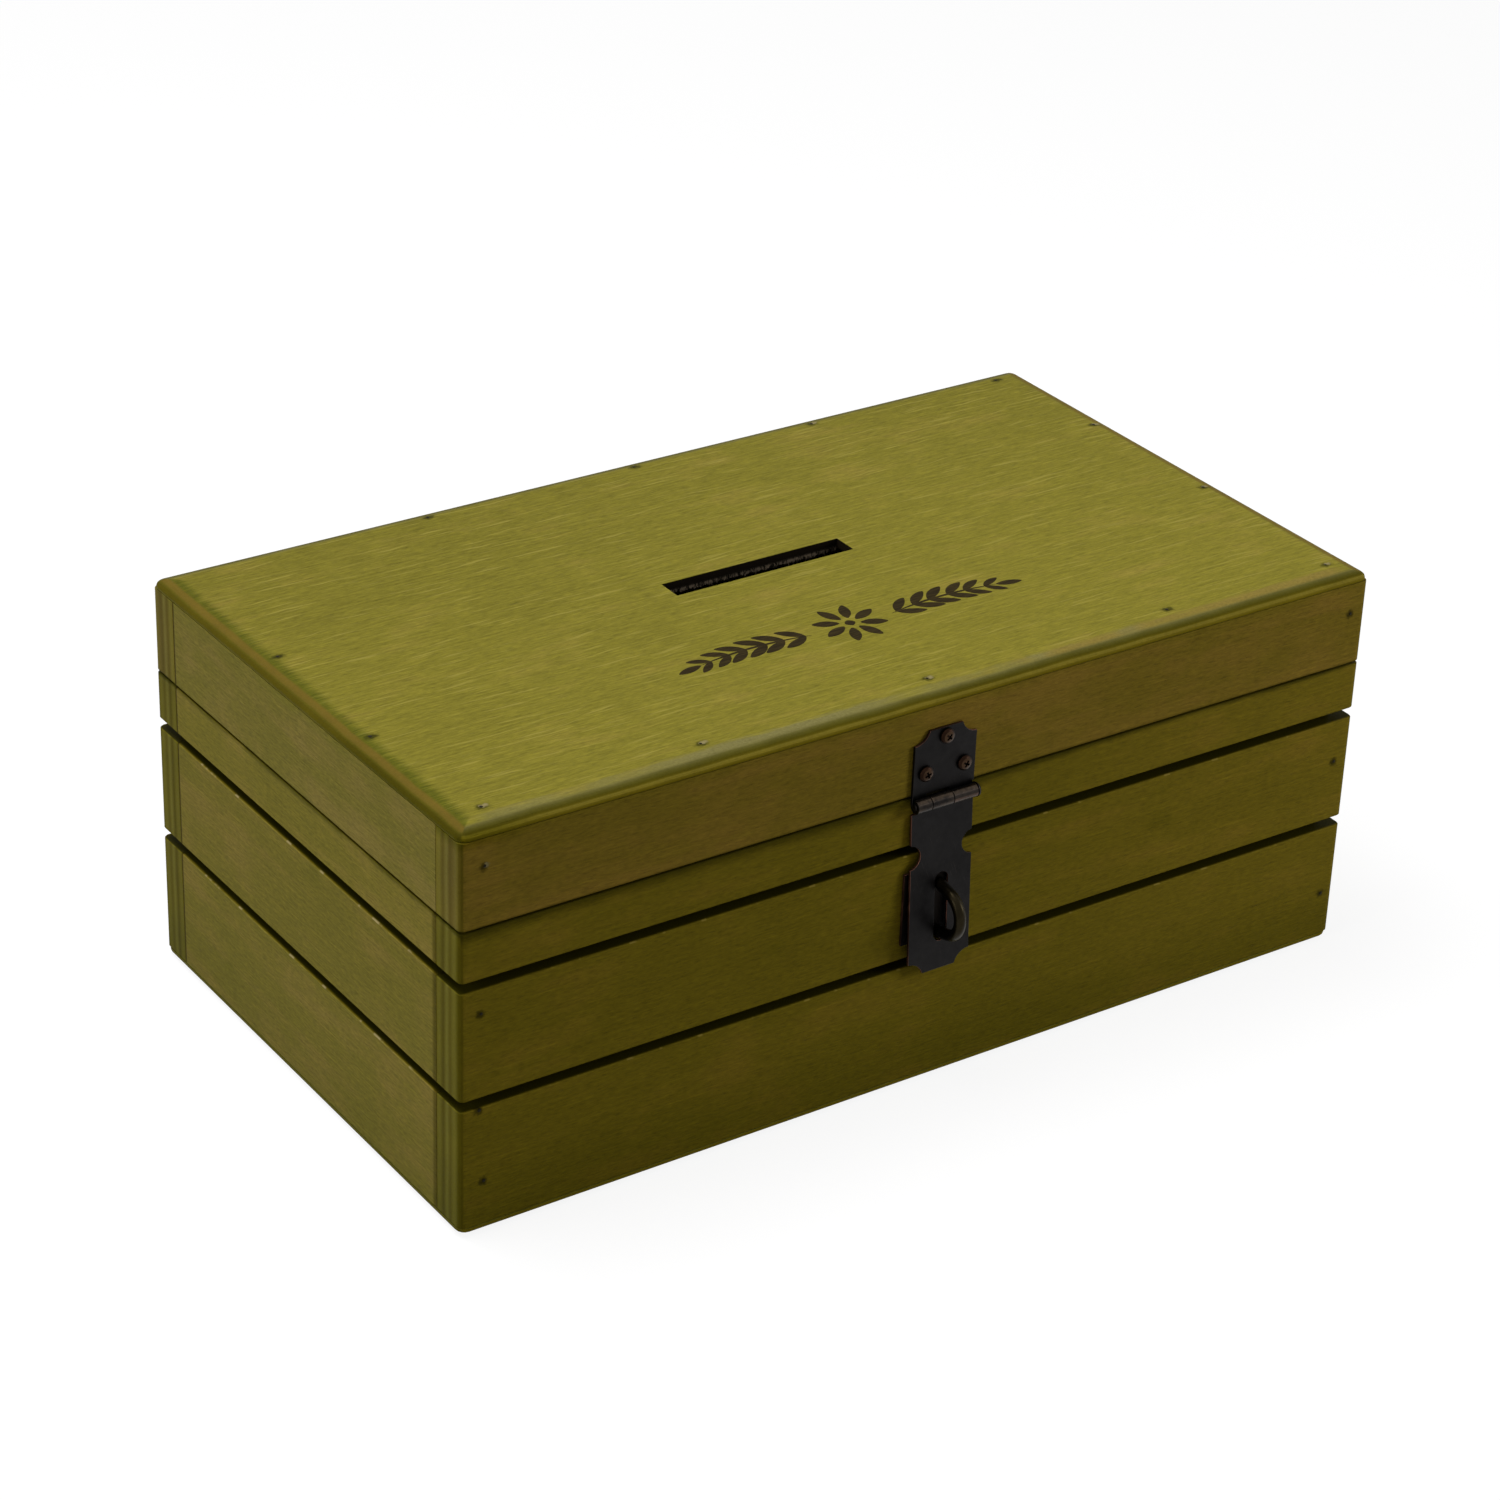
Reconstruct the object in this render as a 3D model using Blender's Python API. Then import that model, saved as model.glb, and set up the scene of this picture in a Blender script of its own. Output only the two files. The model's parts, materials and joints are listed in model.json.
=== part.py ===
"""A plywood box for tips, with a note slot in its hinged lid and a hasp and staple for a padlock.

Metres, +Z up, the front towards -Y. The origin is under the middle of the box, on the surface it
stands on. The box is nailed up closed from 12 mm walls and two thin boards. Two grooves are then sawn
round the walls, and the lid is sawn off above them. At rest the lid is shut, and the hasp's arm hangs
over the staple and rests on the staple's plate.
"""

import math

import bmesh
import bpy
from mathutils import Matrix, Vector

# Box and boards
BOX_LENGTH = 0.300
BOX_DEPTH = 0.169
BOX_HEIGHT = 0.122
LID_HEIGHT = 0.0289
WALL_THICKNESS = 0.012
PANEL_THICKNESS = 0.0027
PANEL_ROUND_RUN = 0.0055
PANEL_ROUND_RISE = 0.0021
PANEL_CORNER_RADIUS = 0.0030
CORNER_RADIUS = 0.0018
CORNER_LEAST = 0.0003
EDGE_EASE = 0.0003
JOINT_GAP = 0.0002
JOINT_EASE = 0.0001
SEAM_WIDTH = 0.0006

# Grooves sawn round the walls, below the seam
GROOVE_WIDTH = 0.003
GROOVE_DEPTH = 0.005
UPPER_GROOVE_DROP = 0.0165
GROOVE_SPACING = 0.0358

# Slot for notes and coins
NOTE_SLOT_LENGTH = 0.060
NOTE_SLOT_WIDTH = 0.0082
NOTE_SLOT_SHIFT = 0.0053

# Sheet metal, barrels and their pins
SHEET = 0.0009
HARDWARE_GAP = 0.0002
PIN_CLEARANCE = 0.0001
KNUCKLE_GAP = 0.0002
ROLL_SWEEP = math.radians(280)
ROLL_SEGMENTS = 20
NOTCH_CLEARANCE = 0.0003

# Hasp plate on the lid
HASP_WIDTH = 0.0205
HASP_BARREL_RADIUS = 0.00205
HASP_BARREL_DROP = 0.0018
PLATE_RISE = 0.0214
CORNER_CLIP_RADIUS = 0.0050
CORNER_CLIP_OUT = 0.0013
BARREL_INSET = 0.00045
MIDDLE_KNUCKLE_LENGTH = 0.0070
MIDDLE_KNUCKLE_SHIFT = -0.0019
PIN_HEAD_PROUD = 0.0001
PIN_HEAD_HEIGHT = 0.0013
PIN_END_PROUD = 0.0003

# Hasp arm
ARM_LENGTH = 0.0529
ARM_SHOULDER = 0.0010
SIDE_NOTCH_RADIUS = 0.0037
SIDE_NOTCH_DROP = 0.0162
SIDE_NOTCH_OUT = 0.0004
ARM_SLOT_DROP = 0.0229
ARM_SLOT_LENGTH = 0.0214
ARM_SLOT_WIDTH = 0.0043

# Staple on the box
STAPLE_WIRE_RADIUS = 0.0017
STAPLE_BEND_RADIUS = 0.0066
STAPLE_REACH = 0.0135
STAPLE_SPLAY = math.radians(13)
STAPLE_SHIFT = 0.0003
STAPLE_DROP = 0.0008
STAPLE_TENON_RADIUS = 0.0011
STAPLE_TENON_CLEARANCE = 0.00015
STAPLE_TENON_SHOULDER = 0.0003
STAPLE_PLATE_WIDTH = 0.021
STAPLE_PLATE_HEIGHT = 0.0224
STAPLE_PLATE_SIDE_SHIFT = -0.0008
STAPLE_PLATE_RISE = 0.0017
STAPLE_ARC_SEGMENTS = 18
STAPLE_SCREW_SPREAD = 0.0070

# Hinges on the back
HINGE_WIDTH = 0.028
HINGE_BARREL_RADIUS = 0.0018
HINGE_LEAF_RUN = 0.0135
HINGE_INSET = 0.055
HINGE_MIDDLE_KNUCKLE = 0.0095
HINGE_CORNER_CLIP = 0.0025
HINGE_SCREW_SPREAD = 0.0088
HINGE_SCREW_RUN = 0.0082

# Wood screws
SCREW_LENGTH = 0.0090
SCREW_RADIUS = 0.0011
SCREW_TIP_RADIUS = 0.0004
SCREW_TIP_LENGTH = 0.0025
SCREW_CLEARANCE = 0.00015
PAN_HEAD_RADIUS = 0.0023
PAN_HEAD_HEIGHT = 0.0013
PAN_HEAD_RIM = 0.0004
FLAT_HEAD_RADIUS = 0.0021
RECESS_REACH = 0.0021
RECESS_WIDTH = 0.0006
RECESS_DEPTH = 0.0007
HASP_SCREW_LOW_RISE = 0.0088
HASP_SCREW_TOP_RISE = 0.0187
HASP_SCREW_SPREAD = 0.0064
HASP_SCREW_TURNS = (math.radians(48), math.radians(20), math.radians(63))

# How far a cutter runs past what it cuts
CUT_OVERRUN = 0.002

# Facets
ROUND_SIDES = 16
HOLE_SIDES = 12
CORNER_SEGMENTS = 4
CUTTER_CORNER_SEGMENTS = 7
PANEL_ROUND_SEGMENTS = 8
DOME_SEGMENTS = 4
SMOOTH_ANGLE = math.radians(40)

# Places that follow from the sizes above
FRONT_Y = -BOX_DEPTH / 2
BACK_Y = BOX_DEPTH / 2
SEAM_Z = BOX_HEIGHT - LID_HEIGHT
WALL_BOTTOM_Z = PANEL_THICKNESS + JOINT_GAP
WALL_TOP_Z = SEAM_Z - SEAM_WIDTH / 2
RIM_BOTTOM_Z = SEAM_Z + SEAM_WIDTH / 2
RIM_TOP_Z = BOX_HEIGHT - PANEL_THICKNESS - JOINT_GAP
UPPER_GROOVE_Z = SEAM_Z - UPPER_GROOVE_DROP
LOWER_GROOVE_Z = UPPER_GROOVE_Z - GROOVE_SPACING
HASP_AXIS = Vector((0, FRONT_Y - HARDWARE_GAP - HASP_BARREL_RADIUS, SEAM_Z - HASP_BARREL_DROP))
LID_AXIS = Vector((0, BACK_Y + HARDWARE_GAP + HINGE_BARREL_RADIUS, SEAM_Z))
HINGE_X = BOX_LENGTH / 2 - HINGE_INSET
SHEET_FRONT_Y = FRONT_Y - HARDWARE_GAP - SHEET
STAPLE_Z = HASP_AXIS.z - ARM_SLOT_DROP - ARM_SLOT_LENGTH / 2 - STAPLE_DROP
STAPLE_PLATE_Z = STAPLE_Z + STAPLE_PLATE_RISE
STAPLE_BEND_Y = FRONT_Y - STAPLE_REACH + STAPLE_WIRE_RADIUS + STAPLE_BEND_RADIUS


def clear_scene():
    for thing in list(bpy.data.objects):
        bpy.data.objects.remove(thing, do_unlink=True)


def finish(name, colour, roughness, metallic):
    """A plain material for one finish."""
    made = bpy.data.materials.new(name)
    made.use_nodes = True
    shader = made.node_tree.nodes["Principled BSDF"]
    shader.inputs["Base Color"].default_value = (*colour, 1)
    shader.inputs["Roughness"].default_value = roughness
    shader.inputs["Metallic"].default_value = metallic
    made.diffuse_color = (*colour, 1)
    return made


def world_matrix(thing):
    """Where an object stands, down its chain of parents."""
    if thing.parent:
        return world_matrix(thing.parent) @ thing.matrix_parent_inverse @ thing.matrix_basis
    return thing.matrix_basis


def hang(thing, carrier):
    """Hangs an object from the one that carries it, and leaves it where it is."""
    thing.parent = carrier
    thing.matrix_parent_inverse = world_matrix(carrier).inverted()


def axis_empty(name, place):
    """An empty on a joint's axis. The pieces that turn about the axis hang from it."""
    empty = bpy.data.objects.new(name, None)
    bpy.context.scene.collection.objects.link(empty)
    empty.location = place
    return empty


def add_object(name, data, place=(0, 0, 0), turn=(0, 0, 0), material=None):
    made = bpy.data.objects.new(name, data)
    bpy.context.scene.collection.objects.link(made)
    made.location = place
    made.rotation_euler = turn
    if material and not data.materials:
        data.materials.append(material)
    return made


def mesh_from(name, shape, smooth=False):
    """Turns a bmesh into a mesh whose faces point outwards."""
    bmesh.ops.recalc_face_normals(shape, faces=shape.faces)
    data = bpy.data.meshes.new(name)
    shape.to_mesh(data)
    shape.free()
    if smooth:
        data.shade_smooth()
        data.set_sharp_from_angle(angle=SMOOTH_ANGLE)
    return data


def add_sweep(shape, outline, offset):
    """Adds the solid that a flat outline sweeps along a straight offset."""
    base = shape.faces.new([shape.verts.new(point) for point in outline])
    swept = bmesh.ops.extrude_face_region(shape, geom=[base])["geom"]
    far = [item for item in swept if isinstance(item, bmesh.types.BMVert)]
    bmesh.ops.translate(shape, verts=far, vec=offset)


def add_block(shape, low, high):
    """Adds a rectangular block between two corners."""
    low, high = Vector(low), Vector(high)
    placed = Matrix.Translation((low + high) / 2) @ Matrix.Diagonal((*(high - low), 1))
    bmesh.ops.create_cube(shape, size=1, matrix=placed)


def add_rod(shape, start, end, radius, sides=HOLE_SIDES):
    """Adds a round rod between two points."""
    start, end = Vector(start), Vector(end)
    along = end - start
    turn = along.to_track_quat("Z", "Y").to_matrix().to_4x4()
    bmesh.ops.create_cone(
        shape,
        cap_ends=True,
        segments=sides,
        radius1=radius,
        radius2=radius,
        depth=along.length,
        matrix=Matrix.Translation((start + end) / 2) @ turn,
    )


def add_turned(shape, profile, sides, placed=Matrix()):
    """Adds a turned solid. Its profile runs from one pole to the other as radius and height along +Z."""
    rings = []
    for radius, height in profile:
        if radius == 0:
            rings.append([shape.verts.new(placed @ Vector((0, 0, height)))])
            continue
        angles = [math.tau * step / sides for step in range(sides)]
        ring = [Vector((radius * math.cos(a), radius * math.sin(a), height)) for a in angles]
        rings.append([shape.verts.new(placed @ point) for point in ring])
    for low, high in zip(rings, rings[1:]):
        for step in range(sides):
            after = (step + 1) % sides
            corners = [low[step % len(low)], low[after % len(low)]]
            corners += [high[after % len(high)], high[step % len(high)]]
            shape.faces.new(list(dict.fromkeys(corners)))


def arc(centre, radius, start, sweep, segments):
    """Points along a circle, both ends included."""
    angles = [start + sweep * step / segments for step in range(segments + 1)]
    return [(centre[0] + radius * math.cos(a), centre[1] + radius * math.sin(a)) for a in angles]


def cut(hosts, name, shape, place=(0, 0, 0), turn=(0, 0, 0)):
    """Cuts a shape out of its hosts. The cutter never renders, and moves with the first host."""
    cutter = add_object(name, mesh_from(name, shape), place, turn)
    cutter.hide_render = True
    cutter.display_type = "WIRE"
    hang(cutter, hosts[0])
    for host in hosts:
        modifier = host.modifiers.new(name, "BOOLEAN")
        modifier.operation = "DIFFERENCE"
        modifier.solver = "EXACT"
        modifier.object = cutter
    return cutter


def applied_mesh(thing, name):
    """The mesh of an object as its modifiers leave it, for pieces that share one mesh."""
    bpy.context.view_layer.update()
    graph = bpy.context.evaluated_depsgraph_get()
    data = bpy.data.meshes.new_from_object(thing.evaluated_get(graph))
    data.name = name
    return data


def outline_ring(shape, inset, height, corner=CORNER_RADIUS, segments=CORNER_SEGMENTS):
    """Adds a ring of points at one height round the box's outline, set in from it by a distance. corner
    is the radius that the outline's own corners have."""
    radius = max(corner - inset, CORNER_LEAST)
    half_x, half_y = BOX_LENGTH / 2 - inset - radius, BOX_DEPTH / 2 - inset - radius
    ring = []
    for quarter, (sx, sy) in enumerate(((1, 1), (-1, 1), (-1, -1), (1, -1))):
        start = quarter * math.pi / 2
        corner = arc((sx * half_x, sy * half_y), radius, start, math.pi / 2, segments)
        ring += [shape.verts.new((x, y, height)) for x, y in corner]
    return ring


def add_bands(shape, rings):
    """Adds the faces between each ring and the next."""
    for low, high in zip(rings, rings[1:]):
        for step in range(len(low)):
            after = (step + 1) % len(low)
            shape.faces.new((low[step], low[after], high[after], high[step]))


def long_board(name, bottom, top, material, side):
    """A front or back board. It runs the box's full length and covers the ends of the end boards, and
    its two outer upright corners are rounded. Its outer face is built at y = 0, facing -Y."""
    half = BOX_LENGTH / 2
    centre = (half - CORNER_RADIUS, CORNER_RADIUS)
    right = arc(centre, CORNER_RADIUS, -math.pi / 2, math.pi / 2, CORNER_SEGMENTS)
    left = [(-x, y) for x, y in reversed(right)]
    outline = left + right + [(half, WALL_THICKNESS), (-half, WALL_THICKNESS)]
    shape = bmesh.new()
    add_sweep(shape, [(x, y, bottom) for x, y in outline], (0, 0, top - bottom))
    place, turn = ((0, BACK_Y, 0), (0, 0, math.pi)) if side > 0 else ((0, FRONT_Y, 0), (0, 0, 0))
    return add_object(name, mesh_from(name, shape), place, turn, material)


def end_board(name, bottom, top, material, side):
    """An end board, which stands between the front and back boards."""
    reach = BACK_Y - WALL_THICKNESS - JOINT_GAP
    shape = bmesh.new()
    add_block(shape, (-reach, 0, bottom), (reach, WALL_THICKNESS, top))
    turn = (0, 0, side * math.pi / 2)
    return add_object(name, mesh_from(name, shape), (side * BOX_LENGTH / 2, 0, 0), turn, material)


def build_boards(names, bottom, top, material):
    """The four boards of the walls, or of the lid's rim: front, back, left and right."""
    front, back, left, right = names
    return [
        long_board(front, bottom, top, material, -1),
        long_board(back, bottom, top, material, 1),
        end_board(left, bottom, top, material, -1),
        end_board(right, bottom, top, material, 1),
    ]


def add_cut_ring(shape, middle, profile):
    """Adds one ring-shaped cutter from its section, given as insets and rises about a height."""
    rings = []
    for inset, rise in profile:
        rings.append(outline_ring(shape, inset, middle + rise, segments=CUTTER_CORNER_SEGMENTS))
    add_bands(shape, rings + rings[:1])


def saw_cuts(boards, name, grooves, joints):
    """Saws grooves round the boards, and takes the sharp edge off the grooves and off the joints. Each
    cut is a ring whose mouth widens outwards at 45 degrees. A joint is its height, gap and ease."""
    shape = bmesh.new()
    for middle in grooves:
        half = GROOVE_WIDTH / 2
        mouth = half + EDGE_EASE + CUT_OVERRUN
        profile = [(-CUT_OVERRUN, mouth), (EDGE_EASE, half), (GROOVE_DEPTH, half)]
        profile += [(inset, -rise) for inset, rise in reversed(profile)]
        add_cut_ring(shape, middle, profile)
    for middle, gap, ease in joints:
        mouth = gap / 2 + ease + CUT_OVERRUN
        profile = [(-CUT_OVERRUN, mouth), (ease + gap / 2, 0), (-CUT_OVERRUN, -mouth)]
        add_cut_ring(shape, middle, profile)
    cut(boards, name, shape)


def panel(name, material, place, turn=(0, 0, 0)):
    """The top or bottom board, as wide as the box. Its outer edges are rounded over: rings of points
    climb a quarter ellipse, and each ring is set in as the ellipse turns."""
    flat = PANEL_THICKNESS - PANEL_ROUND_RISE
    shape = bmesh.new()
    levels = [(JOINT_EASE, 0), (0, JOINT_EASE)]
    for out, up in arc((0, 0), 1, 0, math.pi / 2, PANEL_ROUND_SEGMENTS):
        levels.append((PANEL_ROUND_RUN * (1 - out), flat + PANEL_ROUND_RISE * up))
    rings = [outline_ring(shape, inset, height, PANEL_CORNER_RADIUS) for inset, height in levels]
    add_bands(shape, rings)
    shape.faces.new(rings[0])
    shape.faces.new(rings[-1])
    return add_object(name, mesh_from(name, shape), place, turn, material)


def rolled_leaf(name, width, radius, outward, up, length):
    """A sheet that is rolled into a barrel along one edge, about the X axis. The sheet's wall side is
    tangent to the barrel's wall side. outward is the way the barrel faces along Y, and up is the way
    the sheet runs along Z."""
    centre = (radius, 0)
    outside = arc(centre, radius, math.pi, ROLL_SWEEP, ROLL_SEGMENTS)
    inside = arc(centre, radius - SHEET, math.pi, ROLL_SWEEP, ROLL_SEGMENTS)
    outline = [(0, length)] + outside + inside[::-1] + [(SHEET, length)]
    points = [(-width / 2, outward * (stand - radius), up * run) for stand, run in outline]
    shape = bmesh.new()
    add_sweep(shape, points, (width, 0, 0))
    return mesh_from(name, shape, smooth=True)


def domed_pin(name, radius, length, head):
    """A hinge pin along +Z from 0, with a domed head on its far end. head is the head's radius."""
    profile = [(0, 0), (radius, 0), (radius, length), (head, length)]
    for out, up in arc((0, 0), 1, 0, math.pi / 2, DOME_SEGMENTS)[1:-1]:
        profile.append((head * out, length + PIN_HEAD_HEIGHT * up))
    profile.append((0, length + PIN_HEAD_HEIGHT))
    shape = bmesh.new()
    add_turned(shape, profile, ROUND_SIDES)
    return mesh_from(name, shape, smooth=True)


def screw_mesh(name, pan):
    """A wood screw with a cross recess. Its head points to +Z, and z = 0 is the sheet's face."""
    tip = [(0, -SCREW_LENGTH), (SCREW_TIP_RADIUS, -SCREW_LENGTH)]
    tip.append((SCREW_RADIUS, SCREW_TIP_LENGTH - SCREW_LENGTH))
    if pan:
        rim = HARDWARE_GAP + PAN_HEAD_RIM
        dome = PAN_HEAD_HEIGHT - PAN_HEAD_RIM
        crown = rim + dome
        profile = tip + [(SCREW_RADIUS, HARDWARE_GAP), (PAN_HEAD_RADIUS, HARDWARE_GAP)]
        profile.append((PAN_HEAD_RADIUS, rim))
        for out, up in arc((0, 0), 1, 0, math.pi / 2, DOME_SEGMENTS)[1:-1]:
            profile.append((PAN_HEAD_RADIUS * out, rim + dome * up))
    else:
        crown = 0
        profile = tip + [(SCREW_RADIUS, -SHEET), (FLAT_HEAD_RADIUS, 0)]
    profile.append((0, crown))
    shape = bmesh.new()
    add_turned(shape, profile, ROUND_SIDES)
    blank = add_object(name + "_blank", mesh_from(name + "_blank", shape, smooth=True))
    far, near = RECESS_REACH / 2, RECESS_WIDTH / 2
    quarter = [(far, -near), (far, near), (near, near)]
    outline = []
    for turn in range(4):
        c, s = round(math.cos(turn * math.pi / 2)), round(math.sin(turn * math.pi / 2))
        outline += [(c * x - s * y, s * x + c * y, crown - RECESS_DEPTH) for x, y in quarter]
    recess = bmesh.new()
    add_sweep(recess, outline, (0, 0, RECESS_DEPTH + CUT_OVERRUN))
    cutter = cut([blank], name + "_recess", recess)
    data = applied_mesh(blank, name)
    bpy.data.objects.remove(blank)
    bpy.data.objects.remove(cutter)
    return data


def add_screw_hole(shape, place, outward, countersunk):
    """Adds the hole that a screw passes through, from its sheet into the wood behind."""
    x, y, z = place
    radius = SCREW_RADIUS + SCREW_CLEARANCE
    deep = SCREW_LENGTH + SCREW_CLEARANCE
    if not countersunk:
        add_rod(shape, (x, y + outward * CUT_OVERRUN, z), (x, y - outward * deep, z), radius)
        return
    wide = FLAT_HEAD_RADIUS + SCREW_CLEARANCE
    turn = Matrix.Rotation(-outward * math.pi / 2, 4, "X")
    profile = [(0, -deep), (radius, -deep), (radius, -SHEET)]
    profile += [(wide, 0), (wide, CUT_OVERRUN), (0, CUT_OVERRUN)]
    add_turned(shape, profile, HOLE_SIDES, Matrix.Translation(place) @ turn)


def add_screws(name, data, places, outward, pan, hosts, material, turns=(0, 0)):
    """Drives screws through a sheet into the board behind it, in holes cut for them."""
    holes = bmesh.new()
    for place in places:
        add_screw_hole(holes, place, outward, not pan)
    cut(hosts, name + "_holes", holes)
    screws = []
    for number, (place, turn) in enumerate(zip(places, turns), 1):
        heading = (-outward * math.pi / 2, outward * turn, 0)
        screws.append(add_object(f"{name}_{number}", data, place, heading, material))
    return screws


def cut_outline(leaf, name, width, rods, place, turn=(0, 0, 0)):
    """Cuts round pieces off both sides of a leaf. A rod is given by its centre's distance out from the
    leaf's side edge, its height on the leaf and its radius."""
    across = Vector((0, HASP_BARREL_RADIUS + CUT_OVERRUN, 0))
    shape = bmesh.new()
    for out, height, radius in rods:
        for side in (-1, 1):
            centre = Vector((side * (width / 2 + out), 0, height))
            add_rod(shape, centre - across, centre + across, radius, 2 * ROUND_SIDES)
    cut([leaf], name, shape, place, turn)


def build_box(wood):
    """The nailed-up walls and the bottom board, with the grooves sawn round them."""
    names = ("front_wall", "back_wall", "left_end_wall", "right_end_wall")
    walls = build_boards(names, WALL_BOTTOM_Z, WALL_TOP_Z, wood)
    joints = [(PANEL_THICKNESS + JOINT_GAP / 2, JOINT_GAP, JOINT_EASE), (SEAM_Z, SEAM_WIDTH, EDGE_EASE)]
    saw_cuts(walls, "box_saw_cuts", (LOWER_GROOVE_Z, UPPER_GROOVE_Z), joints)
    panel("bottom_board", wood, (0, 0, PANEL_THICKNESS), (math.pi, 0, 0))
    return walls


def build_lid(wood):
    """The rim that was sawn off the walls, and the top board with its note slot."""
    names = ("lid_front_rim", "lid_back_rim", "lid_left_rim", "lid_right_rim")
    rims = build_boards(names, RIM_BOTTOM_Z, RIM_TOP_Z, wood)
    joints = [(SEAM_Z, SEAM_WIDTH, EDGE_EASE), (RIM_TOP_Z + JOINT_GAP / 2, JOINT_GAP, JOINT_EASE)]
    saw_cuts(rims, "lid_saw_cuts", (), joints)
    top = panel("lid_top", wood, (0, 0, BOX_HEIGHT - PANEL_THICKNESS))
    slot = bmesh.new()
    half_x, half_y = NOTE_SLOT_LENGTH / 2, NOTE_SLOT_WIDTH / 2
    low = (-half_x, NOTE_SLOT_SHIFT - half_y, BOX_HEIGHT - PANEL_THICKNESS - CUT_OVERRUN)
    high = (half_x, NOTE_SLOT_SHIFT + half_y, BOX_HEIGHT + CUT_OVERRUN)
    add_block(slot, low, high)
    cut([top], "note_slot_cut", slot)
    return rims, top


def build_hasp_plate(bronze):
    """The plate on the lid. Its lower edge is rolled into the two outer knuckles, and its upper corners
    are clipped by hollow arcs. Notches leave room for the arm's knuckle and for the pin's head."""
    radius = HASP_BARREL_RADIUS
    data = rolled_leaf("hasp_plate", HASP_WIDTH, radius, -1, 1, PLATE_RISE)
    plate = add_object("hasp_plate", data, HASP_AXIS, material=bronze)
    half, middle = HASP_WIDTH / 2, MIDDLE_KNUCKLE_LENGTH / 2 + KNUCKLE_GAP
    reach, top = radius + CUT_OVERRUN, radius + NOTCH_CLEARANCE
    notch = bmesh.new()
    low = (MIDDLE_KNUCKLE_SHIFT - middle, -reach, -reach)
    add_block(notch, low, (MIDDLE_KNUCKLE_SHIFT + middle, reach, top))
    add_block(notch, (half - BARREL_INSET, -reach, -reach), (half + CUT_OVERRUN, reach, top))
    cut([plate], "hasp_plate_notches", notch, HASP_AXIS)
    clips = [(0, PLATE_RISE + CORNER_CLIP_OUT, CORNER_CLIP_RADIUS)]
    cut_outline(plate, "hasp_plate_corner_clips", HASP_WIDTH, clips, HASP_AXIS)
    return plate


def arm_rest_lean():
    """How far the arm leans out at rest, so that it clears the upper edge of the staple's plate by the
    gap between pieces. The arm's wall side is a line at the barrel's radius from the axis."""
    drop = HASP_AXIS.z - STAPLE_PLATE_Z - STAPLE_PLATE_HEIGHT / 2
    depth = HASP_BARREL_RADIUS - SHEET - HARDWARE_GAP
    return math.atan2(drop, depth) - math.acos(HASP_BARREL_RADIUS / math.hypot(drop, depth))


def build_hasp_arm(bronze):
    """The arm that hangs from the plate. Its upper edge is rolled into the middle knuckle, and it has a
    notch in each side, a slot for the staple and clipped lower corners."""
    radius = HASP_BARREL_RADIUS
    data = rolled_leaf("hasp_arm", HASP_WIDTH, radius, -1, -1, ARM_LENGTH)
    turn = (-arm_rest_lean(), 0, 0)
    arm = add_object("hasp_arm", data, HASP_AXIS, turn, bronze)
    reach = radius + CUT_OVERRUN
    shoulders = bmesh.new()
    shoulder = -radius - ARM_SHOULDER
    wide = HASP_WIDTH / 2 + CUT_OVERRUN
    for side in (-1, 1):
        knuckle_end = MIDDLE_KNUCKLE_SHIFT + side * MIDDLE_KNUCKLE_LENGTH / 2
        low, high = sorted((knuckle_end, side * wide))
        add_block(shoulders, (low, -reach, shoulder), (high, reach, reach))
    cut([arm], "hasp_arm_shoulders", shoulders, HASP_AXIS, turn)
    rods = [
        (SIDE_NOTCH_OUT, -SIDE_NOTCH_DROP, SIDE_NOTCH_RADIUS),
        (0, -ARM_LENGTH - CORNER_CLIP_OUT, CORNER_CLIP_RADIUS),
    ]
    cut_outline(arm, "hasp_arm_side_cuts", HASP_WIDTH, rods, HASP_AXIS, turn)
    half = ARM_SLOT_WIDTH / 2
    top = -ARM_SLOT_DROP - half
    bottom = -ARM_SLOT_DROP - ARM_SLOT_LENGTH + half
    outline = arc((STAPLE_SHIFT, top), half, 0, math.pi, ROUND_SIDES // 2)
    outline += arc((STAPLE_SHIFT, bottom), half, math.pi, math.pi, ROUND_SIDES // 2)
    slot = bmesh.new()
    add_sweep(slot, [(x, -reach, z) for x, z in outline], (0, 2 * reach, 0))
    cut([arm], "hasp_arm_slot", slot, HASP_AXIS, turn)
    return arm


def build_hasp_pin(bronze):
    """The pin through the three knuckles, with its domed head at the right-hand end."""
    length = PIN_END_PROUD + HASP_WIDTH - BARREL_INSET + HARDWARE_GAP
    radius = HASP_BARREL_RADIUS - SHEET - PIN_CLEARANCE
    data = domed_pin("hasp_pin", radius, length, HASP_BARREL_RADIUS + PIN_HEAD_PROUD)
    place = HASP_AXIS - Vector((HASP_WIDTH / 2 + PIN_END_PROUD, 0, 0))
    return add_object("hasp_pin", data, place, (0, math.pi / 2, 0), bronze)


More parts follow.
